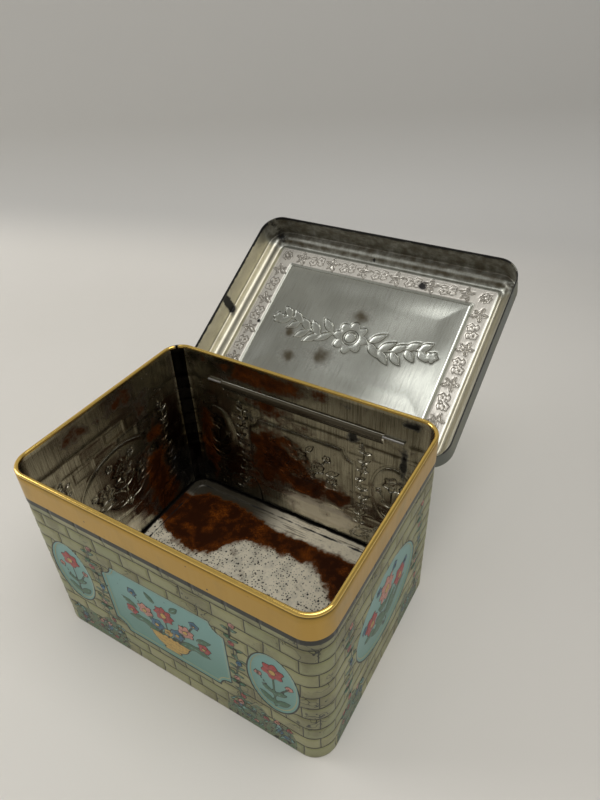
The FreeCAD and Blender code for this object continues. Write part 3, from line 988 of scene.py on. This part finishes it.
        materials = [printed_wall_finish(colours, sizes), gold_finish(colours), inner_wall_finish(colours)]
        piece = make_piece(
            "printed_wall", points, all_faces.tolist(), materials, all_kinds,
            "box", "body_wall",
        )
        piece.data.set_sharp_from_angle(angle=SHARP_ANGLE)
        self.unroll(piece, along, height, total)
        for name, distance in pattern.layers.items():
            spare = np.full((len(rim), columns), pattern.FAR)
            store(piece, name, np.concatenate([distance, spare, distance[::-1]]))
        spare = np.zeros((len(rim), columns, 3))
        store_tint(piece, "tint", np.concatenate([pattern.tint, spare, pattern.tint[::-1]]))
        marks = self.marks(along[None, :] + 0 * height, height, left, front, right, back)
        for name, values in zip(("stain", "rust", "dim"), marks):
            store(piece, name, values)
        store(piece, "seam", smooth(from_seam, half_seam + 0.4, half_seam - 0.1)[None, :] + 0 * height)
        worn = np.zeros(height.shape)
        # Painted shade: the crease below the rim is darkened.
        worn[rows - 2:rows] = 0.6
        # The rim is darkened round the notch above the side seam.
        worn[rows:rows + len(rim)] = smooth(from_seam, 2.4, 0.7)
        store(piece, "worn", worn)
        bead = np.zeros(height.shape)
        bead[rows:rows + len(rim)] = 1
        store(piece, "bead", bead)
        return {"FINISHED"}

    def cut_slot(self, index, rows, first, last, low, high):
        """Which faces stay round the hinge slot, and the faces along its edges."""
        inside = len(index) - 1 - np.arange(rows)
        kept = np.ones(index.shape, bool)
        kept[low:high, first:last] = False
        kept[inside[high]:inside[low], first:last] = False
        low_out, low_in = index[low], index[inside[low]]
        high_out, high_in = index[high], index[inside[high]]
        edges = []
        for i in range(first, last):
            edges.append((low_out[i], low_out[i + 1], low_in[i + 1], low_in[i]))
            edges.append((high_out[i], high_in[i], high_in[i + 1], high_out[i + 1]))
        for k in range(low, high):
            for i, flip in ((first, 1), (last, -1)):
                side = (index[k, i], index[inside[k], i], index[inside[k + 1], i], index[k + 1, i])
                edges.append(side[::flip])
        return kept, edges

    def unroll(self, piece, along, height, total):
        """A map of the unrolled sheet in millimetres, which meets itself at the side seam."""
        corners = corner_points(piece)
        across = along[corners % len(along)].reshape(-1, 4)
        wraps = across.max(1) - across.min(1) > total / 2
        across[wraps] = np.where(across[wraps] < total / 2, across[wraps] + total, across[wraps])
        layer = piece.data.uv_layers.new(name="wall_map")
        places = np.stack([across.ravel(), height.ravel()[corners]], 1)
        layer.uv.foreach_set("vector", places.astype(np.float32).ravel())

    def marks(self, along, up, left, front, right, back):
        """Where black stains and rust lie on the inside, 0 to 1; where it is tarnished and darkened by
        painted shade, most towards the back left corner, 0 to 1, and below 0 where a pale painted reflection
        lies.
        """
        stain = patches(along, up, (
            (back - 77, 119, 7, 4, 0.85), (back - 74, 88, 3, 15, 0.7), (back - 39, 96, 6, 5, 0.7),
            (back - 35, 119, 8, 6, 0.45), (back + 88, 14, 12, 26, 0.8), (left - 56, 20, 14, 30, 0.8),
            (left - 46, 36, 10, 20, 0.6), (back + 40, 80, 10, 10, 0.45),
        ))
        # Black along the foot of the wall, where it meets the bottom.
        stain = np.maximum(stain, 0.8 * smooth(up, 5, 1.5))
        rust = patches(along, up, (
            (back + 20, 52, 24, 26, 0.9), (back - 6, 38, 22, 12, 0.85), (back - 28, 38, 16, 8, 0.85),
            (back + 79, 42, 8, 36, 0.8), (back + 23, 98, 15, 8, 0.75), (back + 27, 119, 44, 8, 0.72),
            (left - 30, 36, 15, 26, 0.9), (left - 36, 14, 16, 14, 0.85), (left - 34, 72, 12, 10, 0.6),
            (left - 14, 116, 14, 8, 0.5), (left + 28, 116, 10, 6, 0.5), (left - 28, 101, 10, 8, 0.5),
            (front, 20, 60, 20, 0.5), (right + 10, 18, 50, 18, 0.5),
        ))
        # Painted shade over the tarnishing, heaviest towards the back left corner; the patches taken off
        # next leave a pale painted reflection low on the back and left walls.
        dim = patches(along, up, (
            (back + 76, 40, 30, 50, 0.8), (left - 52, 40, 30, 50, 0.85), (back + 27, 118, 56, 10, 0.6),
            (back + 10, 50, 50, 50, 0.35), (left - 10, 60, 40, 40, 0.4),
        ))
        dim = dim - patches(along, up, ((back - 12, 17, 32, 13, 1.6), (left + 10, 14, 24, 14, 0.8)))
        return stain, rust, dim


def ring_points(rows, lap, half_length, half_depth, shift):
    """Points on rings of a rounded sheet, from rows of (inset, corner radius, height)."""
    rings = []
    for inset, corner, height in rows:
        x, y = lap_point(lap, half_length - inset - corner, half_depth - inset - corner, corner)
        rings.append(np.stack([x, y + shift, np.full_like(x, height)], 1))
    return np.array(rings)


def middle_points(row, along_x, along_y, half_length, half_depth, shift):
    """A grid of points that fills the last ring, up to its corner centres."""
    inset, corner, height = row
    x = np.linspace(-1, 1, along_x + 1) * (half_length - inset - corner)
    y = np.linspace(-1, 1, along_y + 1) * (half_depth - inset - corner) + shift
    grid_x, grid_y = np.meshgrid(x, y)
    return np.stack([grid_x, grid_y, np.full_like(grid_x, height)], -1)


def ring_faces(index):
    """Faces between neighbouring rings, facing outward and upward."""
    here, after = index[:-1], index[1:]
    quads = np.stack([here, np.roll(here, -1, 1), np.roll(after, -1, 1), after], -1)
    return quads.reshape(-1, 4).tolist()


def middle_faces(ring, grid, lap):
    """Faces of the grid, and those that join its edge to the last ring."""
    cells = np.stack([grid[:-1, :-1], grid[:-1, 1:], grid[1:, 1:], grid[1:, :-1]], -1)
    quads = cells.reshape(-1, 4).tolist()
    sides = {1: grid[::-1, 0], 3: grid[0], 5: grid[:, -1], 7: grid[-1, ::-1]}
    corners = {0: grid[-1, 0], 2: grid[0, 0], 4: grid[0, -1], 6: grid[-1, -1], 8: grid[-1, 0]}
    stretch = np.floor(lap).astype(int)
    for k in range(len(lap)):
        after = (k + 1) % len(lap)
        part = stretch[k]
        if part in sides:
            step = k - int(np.argmax(stretch == part))
            quads.append([ring[k], ring[after], sides[part][step + 1], sides[part][step]])
        else:
            quads.append([ring[k], ring[after], corners[part]])
    return quads


class Dish:
    """A pressed sheet with rounded corners: an upper face, a lower face and a shared edge."""

    def __init__(self, half_length, half_depth, shift, along_x, along_y, along_corner):
        self.size = (half_length, half_depth, shift)
        self.counts = (along_x, along_y)
        self.lap = even_lap(along_x, along_y, along_corner)
        self.points, self.faces, self.kinds = [], [], []

    def face(self, rows, kind, upward):
        """Add one face of the sheet; the first row of each face is the shared edge."""
        rings = ring_points(rows, self.lap, *self.size)
        middle = middle_points(rows[-1], *self.counts, *self.size)
        start = sum(len(p) for p in self.points)
        flat = np.concatenate([rings.reshape(-1, 3), middle.reshape(-1, 3)])
        ring_index = np.arange(rings.shape[0] * rings.shape[1]).reshape(rings.shape[:2]) + start
        grid_index = np.arange(middle.shape[0] * middle.shape[1]).reshape(middle.shape[:2])
        grid_index = grid_index + start + ring_index.size
        if self.points:
            ring_index[0] = np.arange(ring_index.shape[1])
        faces = ring_faces(ring_index) + middle_faces(ring_index[-1], grid_index, self.lap)
        if not upward:
            faces = [face[::-1] for face in faces]
        self.points.append(flat)
        self.faces += faces
        self.kinds += [kind] * len(faces)

    def all_points(self):
        """Every point, in the order that the faces count them."""
        return np.concatenate(self.points)


def drop_spare_points(piece):
    """Remove points that no face uses."""
    used = np.zeros(len(piece.data.vertices), bool)
    used[corner_points(piece)] = True
    shape = bmesh.new()
    shape.from_mesh(piece.data)
    shape.verts.ensure_lookup_table()
    bmesh.ops.delete(shape, geom=[shape.verts[i] for i in np.nonzero(~used)[0]], context="VERTS")
    shape.to_mesh(piece.data)
    shape.free()


class TINBOX_OT_bottom(Operator):
    """Make the pressed bottom plate with its raised seam ring"""

    bl_idname = "tinbox.bottom"
    bl_label = "Bottom Plate"

    # Mesh columns along the length, the depth and a corner
    COLUMNS = (70, 50, 12)
    # Rows of (inset, height) from the shared edge over the seam ring down to the panel
    SECTION = (
        (1.2, 1.35), (1.3, 1.47), (1.5, 1.5), (4.0, 1.5), (6.5, 1.5), (6.9, 1.47), (7.2, 1.36), (7.6, 1.1),
        (8.0, 0.9), (8.3, 0.82), (8.7, 0.8), (10.5, 0.8), (12.6, 0.8),
    )
    SEAM_STEP = 7.6
    UNEVEN = 0.18
    # Near and far edge of the rust band: places along the box, and how far back the edge lies there
    NEAR_EDGE = (
        (-92, -81, -66, -53, -41, -35, -25, -15, 0, 22, 34, 44, 60, 75),
        (20, 16, 10, 9, 14, 27, 35, 38, 37, 40, 35, 27, 14, 0),
    )
    FAR_EDGE = ((-90, -75, -56, -35, -11, 11, 40, 60), (49, 57, 58, 55, 51, 51, 50, 52))

    def execute(self, context):
        sizes, colours = context.scene.tinbox_sizes, context.scene.tinbox_colours
        corner = sizes.corner * MM
        half_length, half_depth = WALL_HIGH.x * MM, WALL_HIGH.y * MM
        dish = Dish(half_length, half_depth, 0, *self.COLUMNS)
        upper = list(self.SECTION)
        lower = upper[:1] + [(inset, height - sizes.sheet * MM) for inset, height in upper[1:]]
        for section, upward in ((upper, True), (lower, False)):
            dish.face([(inset, corner - inset, height) for inset, height in section], 0, upward)
        points = dish.all_points()
        x, y = points[:, 0], points[:, 1]
        panel = smooth(half_length - np.abs(x), 9, 24) * smooth(half_depth - np.abs(y), 9, 24)
        points[:, 2] += panel * self.UNEVEN * ripple(x, y, 80, 5)
        piece = make_piece(
            "bottom_panel", points, dish.faces, [bottom_finish(colours)], dish.kinds,
            "box", "bottom_plate",
        )
        near, far = np.interp(x, *self.NEAR_EDGE), np.interp(x, *self.FAR_EDGE)
        rust = 1.05 * smooth(y, near - 9, near + 8) * smooth(y, far + 6, far - 6) * smooth(x, 92, 74)
        edge = np.minimum(half_length - np.abs(x), half_depth - np.abs(y))
        store(piece, "rust", rust)
        step_line = np.exp(-(((edge - self.SEAM_STEP) / 0.8) ** 2))
        # Black along the plate's edge and along the seam step.
        store(piece, "stain", np.maximum(0.9 * smooth(edge, 3.2, 1.5), 0.6 * step_line))
        # Painted shade towards the back left.
        store(piece, "shade", 0.95 * smooth(x, -4, -40) * smooth(y, 44, 54))
        # Painted sheen on the strip behind the rust band.
        store(piece, "streak", smooth(y, far - 2, far + 4))
        piece.data.set_sharp_from_angle(angle=SHARP_ANGLE)
        drop_spare_points(piece)
        return {"FINISHED"}


class TINBOX_OT_lid(Operator):
    """Make the drawn lid with its hem, shelf, frieze, framed panel and hinge tongue"""

    bl_idname = "tinbox.lid"
    bl_label = "Lid"

    OUTSIDE, INSIDE = 0, 1
    FAR = 9.0
    # Mesh columns along the length, the depth and a corner
    COLUMNS = (150, 104, 16)
    HEM_GAP = 0.15
    TOP_BEND = 1.15
    # Rows of (inset, height above the shelf) of the riser and the crest
    RISE = ((5.5, 0.0), (7.1, 2.6), (9.0, 4.6), (10.6, 4.6), (12.0, 3.6), (FRIEZE_START, 3.6))
    PANEL_CORNER = 3.4
    RIB_RISE = 0.25
    MOTIF_RISE, PANEL_RISE, PANEL_UNEVEN = 0.45, 0.5, 0.3
    MOTIF_SCALE = 1.15
    LONG_MOTIFS, SHORT_MOTIFS = 11, 7
    MOTIF_REACH, CORNER_REACH = 7, 8
    TONGUE_DROP = 0.45

    def rows(self, lid, sheet, outside):
        """Rows of (inset, corner radius, height) of one face, from the edge at the hem to the panel."""
        bottom, shelf, corner = lid.bottom * MM, lid.shelf * MM, lid.corner * MM
        hem = 2 * sheet + self.HEM_GAP
        line = [(hem / 2, bottom)]
        if outside:
            line += [(0.1, bottom + 0.08), (0, bottom + 0.3)]
            skin, low, bend = 0, bottom + 2, self.TOP_BEND
        else:
            fold = bottom + lid.hem * MM
            line += [(hem - 0.1, bottom + 0.08), (hem, bottom + 0.3), (hem, fold - 0.1), (hem - 0.1, fold)]
            line.append((sheet + 0.06, fold))
            skin, low, bend = sheet, fold + 0.2, self.TOP_BEND - sheet
        line += [(skin, z) for z in np.linspace(low, shelf - 2, 7)]
        for turn in np.radians((0, 22, 45, 68, 90)):
            top = shelf - self.TOP_BEND + bend * math.sin(turn)
            line.append((self.TOP_BEND - bend * math.cos(turn), top))
        drop = 0 if outside else sheet
        line += [(2.6, shelf - drop), (4.2, shelf - drop)]
        for (inset, rise), (after, rise_after) in zip(self.RISE, self.RISE[1:]):
            slope = math.atan2(rise_after - rise, after - inset)
            ease = min(0.35, (after - inset) / 3)
            share = ease / (after - inset)
            lean = drop * math.tan(slope / 2)
            line.append((inset + ease + lean, shelf - drop + rise + (rise_after - rise) * share))
            line.append((after - ease + lean, shelf - drop + rise_after - (rise_after - rise) * share))
        rows = [(inset, corner - inset, height) for inset, height in line]
        level = shelf - drop + self.RISE[-1][1]
        for share in np.linspace(0.05, 1, 13):
            inset = FRIEZE_START + share * (FRIEZE_END - FRIEZE_START)
            rows.append((inset, (corner - FRIEZE_START) * (1 - share) + self.PANEL_CORNER * share, level))
        for k in range(1, 9):
            across = (PANEL_START - FRIEZE_END) * k / 8
            rise = self.RIB_RISE * (1 - math.cos(k * math.pi / 2))
            rows.append((FRIEZE_END + across, self.PANEL_CORNER - across, level + rise))
        return rows

    def frieze_distance(self, x, y, half_length, half_depth):
        """Distance outside the frieze's motifs, from places measured from the lid's middle."""
        band = (FRIEZE_START + FRIEZE_END) / 2
        reach_x, reach_y = half_length - band, half_depth - band
        found = np.full(x.shape, self.FAR)
        runs = ((x, y, reach_x, reach_y, self.LONG_MOTIFS), (y, x, reach_y, reach_x, self.SHORT_MOTIFS))
        for along, across, reach, other, count in runs:
            pitch = 2 * (reach - self.MOTIF_REACH) / count
            for side in (-1, 1):
                off = (across - side * other) * side
                beside = np.abs(along) < reach + self.CORNER_REACH
                near = np.nonzero(beside & (np.abs(off) < self.MOTIF_REACH))[0]
                here, off = along[near], off[near]
                motifs = [disc(here - end * reach, off, 1.2) for end in (-1, 1)]
                motifs += [np.abs(rosette(here - end * reach, off, 3.6, 8, 0)) - 0.6 for end in (-1, 1)]
                for k in range(count):
                    motif = self.blossom_pair if k % 2 else self.ivy_leaf
                    middle = pitch * (k + 0.5 - count / 2)
                    shape = motif((here - middle) / self.MOTIF_SCALE, off / self.MOTIF_SCALE)
                    motifs.append(self.MOTIF_SCALE * shape)
                found[near] = np.minimum(found[near], np.min(motifs, axis=0))
        return found

    def panel_spray(self, x, y):
        """Distance outside the panel's blossoms and leafy branches, and outside the blossoms alone."""
        reach = np.hypot(x, y)
        petals = reach - 13 * (0.72 + 0.28 * np.abs(np.cos(4 * np.arctan2(y, x))))
        blossoms = np.maximum(petals, 1.0 - np.abs(reach - 5))
        found = blossoms
        for side in (-1, 1):
            here = side * x
            for k in range(5):
                start, level = 12 + 9 * k, 4 * math.sin(1.2 * k)
                rise = 4 * math.sin(1.2 * k + 1.2) - level
                found = np.minimum(found, stalk(here - start, y - level, 9, rise, 0.8))
                for way in (-1, 1):
                    found = np.minimum(found, leaf(here - start - 2, y - level, 15 - k, 2.9, way * 42))
            blossoms = np.minimum(blossoms, rosette(here - 60, y - level - rise, 4.6, 5, 0))
        return np.minimum(found, blossoms), blossoms

    def ivy_leaf(self, x, z):
        """A five-pointed leaf with a stalk and a groove along its middle."""
        turn = np.arctan2(x, z)
        blade = np.hypot(x, z - 0.4) - 3.5 - 1.5 * np.cos(5 * turn)
        ribs = np.hypot(x, z) * np.abs(np.sin(2.5 * turn)) * 0.4
        return np.minimum(np.maximum(blade, 0.45 - ribs), stalk(x, z + 2.2, 1.8, -2.6, 0.35))

    def blossom_pair(self, x, z):
        """Two small blossoms on one stem."""
        shape = stalk(x + 3.2, z + 3.0, 6.4, 6.0, 0.3)
        for side in (-1, 1):
            flower = rosette(x - side * 2.5, z - side * 1.5, 2.7, 5, 30)
            shape = np.minimum(shape, np.maximum(flower, 0.9 - np.hypot(x - side * 2.5, z - side * 1.5)))
            angle = 10 if side > 0 else 190
            shape = np.minimum(shape, leaf(x - side * 1.2, z + side * 2.2, 4.2, 1.0, angle))
        return shape

    def tongue(self, lid, sheet, start):
        """Tab of the back skirt, set in to the wall's line and rolled round the wire: points and faces."""
        half, roll = sheet / 2, lid.roll * MM
        _, hinge_y, hinge_z = [place * MM for place in LID_JOINT["pos_m"]]
        back_edge = lid.back_edge * MM - hinge_z
        skirt = (lid.depth / 2 - lid.shift) * MM - hinge_y - half
        bend = back_edge - self.TONGUE_DROP
        offset, entry = lid.tongue_offset * MM, lid.tongue_entry * MM
        line = [(skirt, back_edge), (skirt, bend), (offset, bend - skirt + offset)]
        line += [(offset, z) for z in (4, 2, entry)]
        line += [(roll * math.cos(a), -roll * math.sin(a)) for a in np.radians(np.linspace(0, 270, 28))]
        line = np.array(line)
        way = np.gradient(line, axis=0)
        side = np.stack([-way[:, 1], way[:, 0]], 1) / np.hypot(*way.T)[:, None]
        loop = np.concatenate([line + side * half, (line - side * half)[::-1]])
        across = np.linspace(-0.5, 0.5, 41) * lid.tongue_width * MM
        points = [(x, hinge_y + u, hinge_z + w) for x in across for u, w in loop]
        count = len(loop)
        index = np.arange(len(points)).reshape(len(across), count) + start
        faces = []
        for k in range(len(across) - 1):
            here, after = index[k], index[k + 1]
            for j in range(count):
                on = (j + 1) % count
                faces.append([here[j], here[on], after[on], after[j]])
        for row, flip in ((index[0], -1), (index[-1], 1)):
            for j in range(count // 2 - 1):
                faces.append([row[j], row[j + 1], row[count - 2 - j], row[count - 1 - j]][::flip])
        return np.array(points), faces

    def execute(self, context):
        lid, colours = context.scene.tinbox_lid, context.scene.tinbox_colours
        sheet = context.scene.tinbox_sizes.sheet * MM
        half_length, half_depth, shift = lid.length * MM / 2, lid.depth * MM / 2, -lid.shift * MM
        dish = Dish(half_length, half_depth, shift, *self.COLUMNS)
        dish.face(self.rows(lid, sheet, True), self.OUTSIDE, True)
        dish.face(self.rows(lid, sheet, False), self.INSIDE, False)
        points = dish.all_points()
        x, y = points[:, 0], points[:, 1] - shift
        inset = np.minimum(half_length - np.abs(x), half_depth - np.abs(y))
        top = points[:, 2] > lid.shelf * MM + 1.0
        frieze = smooth(inset, 12.2, 13.2) * smooth(inset, 25.4, 24.4) * top
        spray, blossoms = self.panel_spray(x, y)
        motif = np.minimum(self.frieze_distance(x, y, half_length, half_depth), spray)
        motif = np.where(top, motif, self.FAR)
        panel = smooth(inset, 27.5, 45) * top
        uneven = self.PANEL_RISE + self.PANEL_UNEVEN * ripple(x, y, 85, 8)
        points[:, 2] += self.MOTIF_RISE * smooth(motif, 0.6, -1.0) + panel * uneven
        trimmed = points[:, 1] > (LID_JOINT["pos_m"][1] + lid.trim) * MM
        low = trimmed & (points[:, 2] < lid.back_edge * MM)
        points[low, 2] = lid.back_edge * MM
        rim = smooth(points[:, 2], lid.bottom * MM + 3.4, lid.bottom * MM + 1.2) * (inset < 3)
        tab_points, tab_faces = self.tongue(lid, sheet, len(points))
        count = len(tab_points)
        points = np.concatenate([points, tab_points])
        faces = dish.faces + tab_faces
        kinds = dish.kinds + [self.INSIDE] * len(tab_faces)
        stain, film, warm = self.marks(x, y + shift, inset, rim)
        turn = Matrix.Rotation(-math.radians(LID_JOINT["range_deg"][1]), 3, "X")
        hinge = np.array(LID_JOINT["pos_m"]) * MM
        opened = (points - hinge) @ np.array(turn).T + hinge
        materials = [lid_outside_finish(colours), lid_inside_finish(colours)]
        piece = make_piece("drawn_lid", opened, faces, materials, kinds, "lid", "lid")
        for name, values, on_tongue in (
            ("frieze", frieze, 0.0), ("motif", motif, self.FAR), ("worn", rim, 0.0), ("stain", stain, 0.2),
            ("film", film, 1.2), ("warm", warm, 0.0), ("inset", inset, 20.0), ("bloom", blossoms, self.FAR),
        ):
            store(piece, name, np.concatenate([values, np.full(count, on_tongue)]))
        piece.data.set_sharp_from_angle(angle=SHARP_ANGLE)
        drop_spare_points(piece)
        return {"FINISHED"}

    def marks(self, x, y, inset, rim):
        """Where the lid's inside is black, along its hem and in stains, where it is tarnished, with painted
        shade over the far skirt, and where it is yellowed, 0 to 1.
        """
        front = LID_JOINT["pos_m"][1] * MM - y
        stain = np.maximum(0.9 * rim, patches(x, front, (
            (34, 124, 6, 5, 0.72), (-9, 136, 1.3, 1.3, 1.1), (81, 146, 1.3, 1.3, 1.1), (-97, 66, 3, 5, 0.85),
            (-90, 138, 8, 6, 0.6), (-74, 64, 2, 2, 0.8),
        )))
        outer = smooth(inset, 12.6, 11.4)
        far = smooth(front, 128, 133)
        bends = np.exp(-(((inset - 5.6) / 0.6) ** 2)) + np.exp(-(((inset - 9.8) / 0.9) ** 2))
        # Light tarnishing over the border, thinner along the two bends and heavier over the far skirt as
        # painted shade.
        film = outer * np.maximum(0.75 * far, 0.12) * (1 - 0.75 * np.clip(bends, 0, 1))
        film = np.maximum(film, patches(x, front, (
            (0.5, 88, 8, 8, 0.9), (-15, 51, 9, 9, 0.9), (-46, 62, 6, 6, 0.9), (-38, 44, 7, 7, 0.9),
        )))
        return stain, film, outer * (1 - far)


class TINBOX_OT_wire(Operator):
    """Give the hinge wire its drawn steel finish"""

    bl_idname = "tinbox.wire"
    bl_label = "Hinge Wire"

    def execute(self, context):
        wire = frame["nodes"]["hinge_wire"]
        wire.data.materials.clear()
        wire.data.materials.append(wire_finish(context.scene.tinbox_colours))
        return {"FINISHED"}


class TINBOX_OT_stage(Operator):
    """Set up the pale table, the soft light and the camera"""

    bl_idname = "tinbox.stage"
    bl_label = "Stage"

    TABLE_REACH = 6.0
    LAMP_AIM = Vector((0, 0.05, 0.05))
    # Name, setting of the power, width and height, and place
    LAMPS = (
        ("soft_lamp", "lamp", (0.92, 0.9), (0.37, -0.04, 1.3)),
        ("small_lamp", "small_lamp", (0.12, 0.18), (-0.27, -0.03, 1.3)),
        ("window", "window", (1.0, 0.8), (-1.3, -0.3, 0.75)),
    )
    SKY_COLOUR = (1.0, 0.99, 0.975, 1.0)
    SENSOR_WIDTH = 36.0

    def sweep(self, stage, finish):
        """A pale table that curves up into a backdrop, square to the camera's view."""
        reach, bend = self.TABLE_REACH, stage.sweep_bend
        line = [(-reach, 0.0)]
        for turn in np.linspace(0, math.pi / 2, 25):
            line.append((stage.sweep_start + bend * math.sin(turn), bend - bend * math.cos(turn)))
        line.append((stage.sweep_start + bend, reach))
        ahead = Vector((-math.sin(stage.azimuth), math.cos(stage.azimuth), 0))
        aside = Vector((ahead.y, -ahead.x, 0))
        foot = Vector((stage.place[0], stage.place[1], 0))
        points = []
        for away, height in line:
            middle = foot + ahead * away + Vector((0, 0, height))
            points += [middle - aside * reach, middle + aside * reach]
        faces = [(2 * k, 2 * k + 1, 2 * k + 3, 2 * k + 2) for k in range(len(line) - 1)]
        mesh = bpy.data.meshes.new("table")
        mesh.from_pydata(points, [], faces)
        mesh.materials.append(finish)
        mesh.polygons.foreach_set("use_smooth", np.ones(len(faces), bool))
        return bpy.data.objects.new("table", mesh)

    def execute(self, context):
        scene, stage = context.scene, context.scene.tinbox_stage
        scene.view_settings.view_transform = "Standard"
        table = self.sweep(stage, floor_finish(scene.tinbox_colours))
        scene.collection.objects.link(table)

        world = bpy.data.worlds.new("even_light")
        world.use_nodes = True
        scene.world = world
        background = next(n for n in world.node_tree.nodes if n.type == "BACKGROUND")
        background.inputs["Color"].default_value = self.SKY_COLOUR
        background.inputs["Strength"].default_value = stage.sky

        for name, setting, size, place in self.LAMPS:
            lamp = bpy.data.lights.new(name, "AREA")
            lamp.shape = "RECTANGLE"
            lamp.size, lamp.size_y = size
            lamp.energy = getattr(stage, setting)
            lamp_object = bpy.data.objects.new(name, lamp)
            lamp_object.location = place
            aim = self.LAMP_AIM - lamp_object.location
            lamp_object.rotation_euler = aim.to_track_quat("-Z", "Y").to_euler()
            scene.collection.objects.link(lamp_object)

        flat = math.cos(stage.elevation)
        back = Vector((
            math.sin(stage.azimuth) * flat, -math.cos(stage.azimuth) * flat, math.sin(stage.elevation)
        ))
        right = (-back).cross(Vector((0, 0, 1))).normalized()
        up = back.cross(right)
        tilted_right = right * math.cos(stage.roll) - up * math.sin(stage.roll)
        tilted_up = up * math.cos(stage.roll) + right * math.sin(stage.roll)
        lens = bpy.data.cameras.new("camera")
        lens.lens = stage.lens
        lens.sensor_width = self.SENSOR_WIDTH
        lens.clip_start, lens.clip_end = 0.01, 50.0
        camera = bpy.data.objects.new("camera", lens)
        axes = Matrix((tilted_right, tilted_up, back)).transposed().to_4x4()
        camera.matrix_world = Matrix.Translation(stage.place) @ axes
        scene.collection.objects.link(camera)
        scene.camera = camera
        return {"FINISHED"}


OPERATORS = (TINBOX_OT_wall, TINBOX_OT_bottom, TINBOX_OT_lid, TINBOX_OT_wire, TINBOX_OT_stage)
SETTINGS = {
    "tinbox_sizes": TinBoxSizes, "tinbox_lid": TinLidSizes, "tinbox_colours": TinBoxColours,
    "tinbox_stage": TinStageSettings,
}


class TINBOX_PT_panel(Panel):
    """Sizes, colours and pieces of the tin box."""

    bl_idname = "TINBOX_PT_panel"
    bl_label = "Tin Box"
    bl_space_type = "VIEW_3D"
    bl_region_type = "UI"
    bl_category = "Tin Box"

    def draw(self, context):
        for operator in OPERATORS:
            self.layout.operator(operator.bl_idname)
        for name, group in SETTINGS.items():
            column = self.layout.column()
            for setting in group.__annotations__:
                column.prop(getattr(context.scene, name), setting)


CLASSES = (*SETTINGS.values(), *OPERATORS, TINBOX_PT_panel)


def register():
    """Add the classes and their settings to Blender."""
    for each in CLASSES:
        bpy.utils.register_class(each)
    for name, group in SETTINGS.items():
        setattr(bpy.types.Scene, name, PointerProperty(type=group))


def unregister():
    """Take them out again."""
    for name in SETTINGS:
        delattr(bpy.types.Scene, name)
    for each in reversed(CLASSES):
        bpy.utils.unregister_class(each)


def main():
    """Make every piece in order."""
    register()
    bpy.ops.tinbox.wall()
    bpy.ops.tinbox.bottom()
    bpy.ops.tinbox.lid()
    bpy.ops.tinbox.wire()
    bpy.ops.tinbox.stage()


if __name__ == "__main__":
    main()
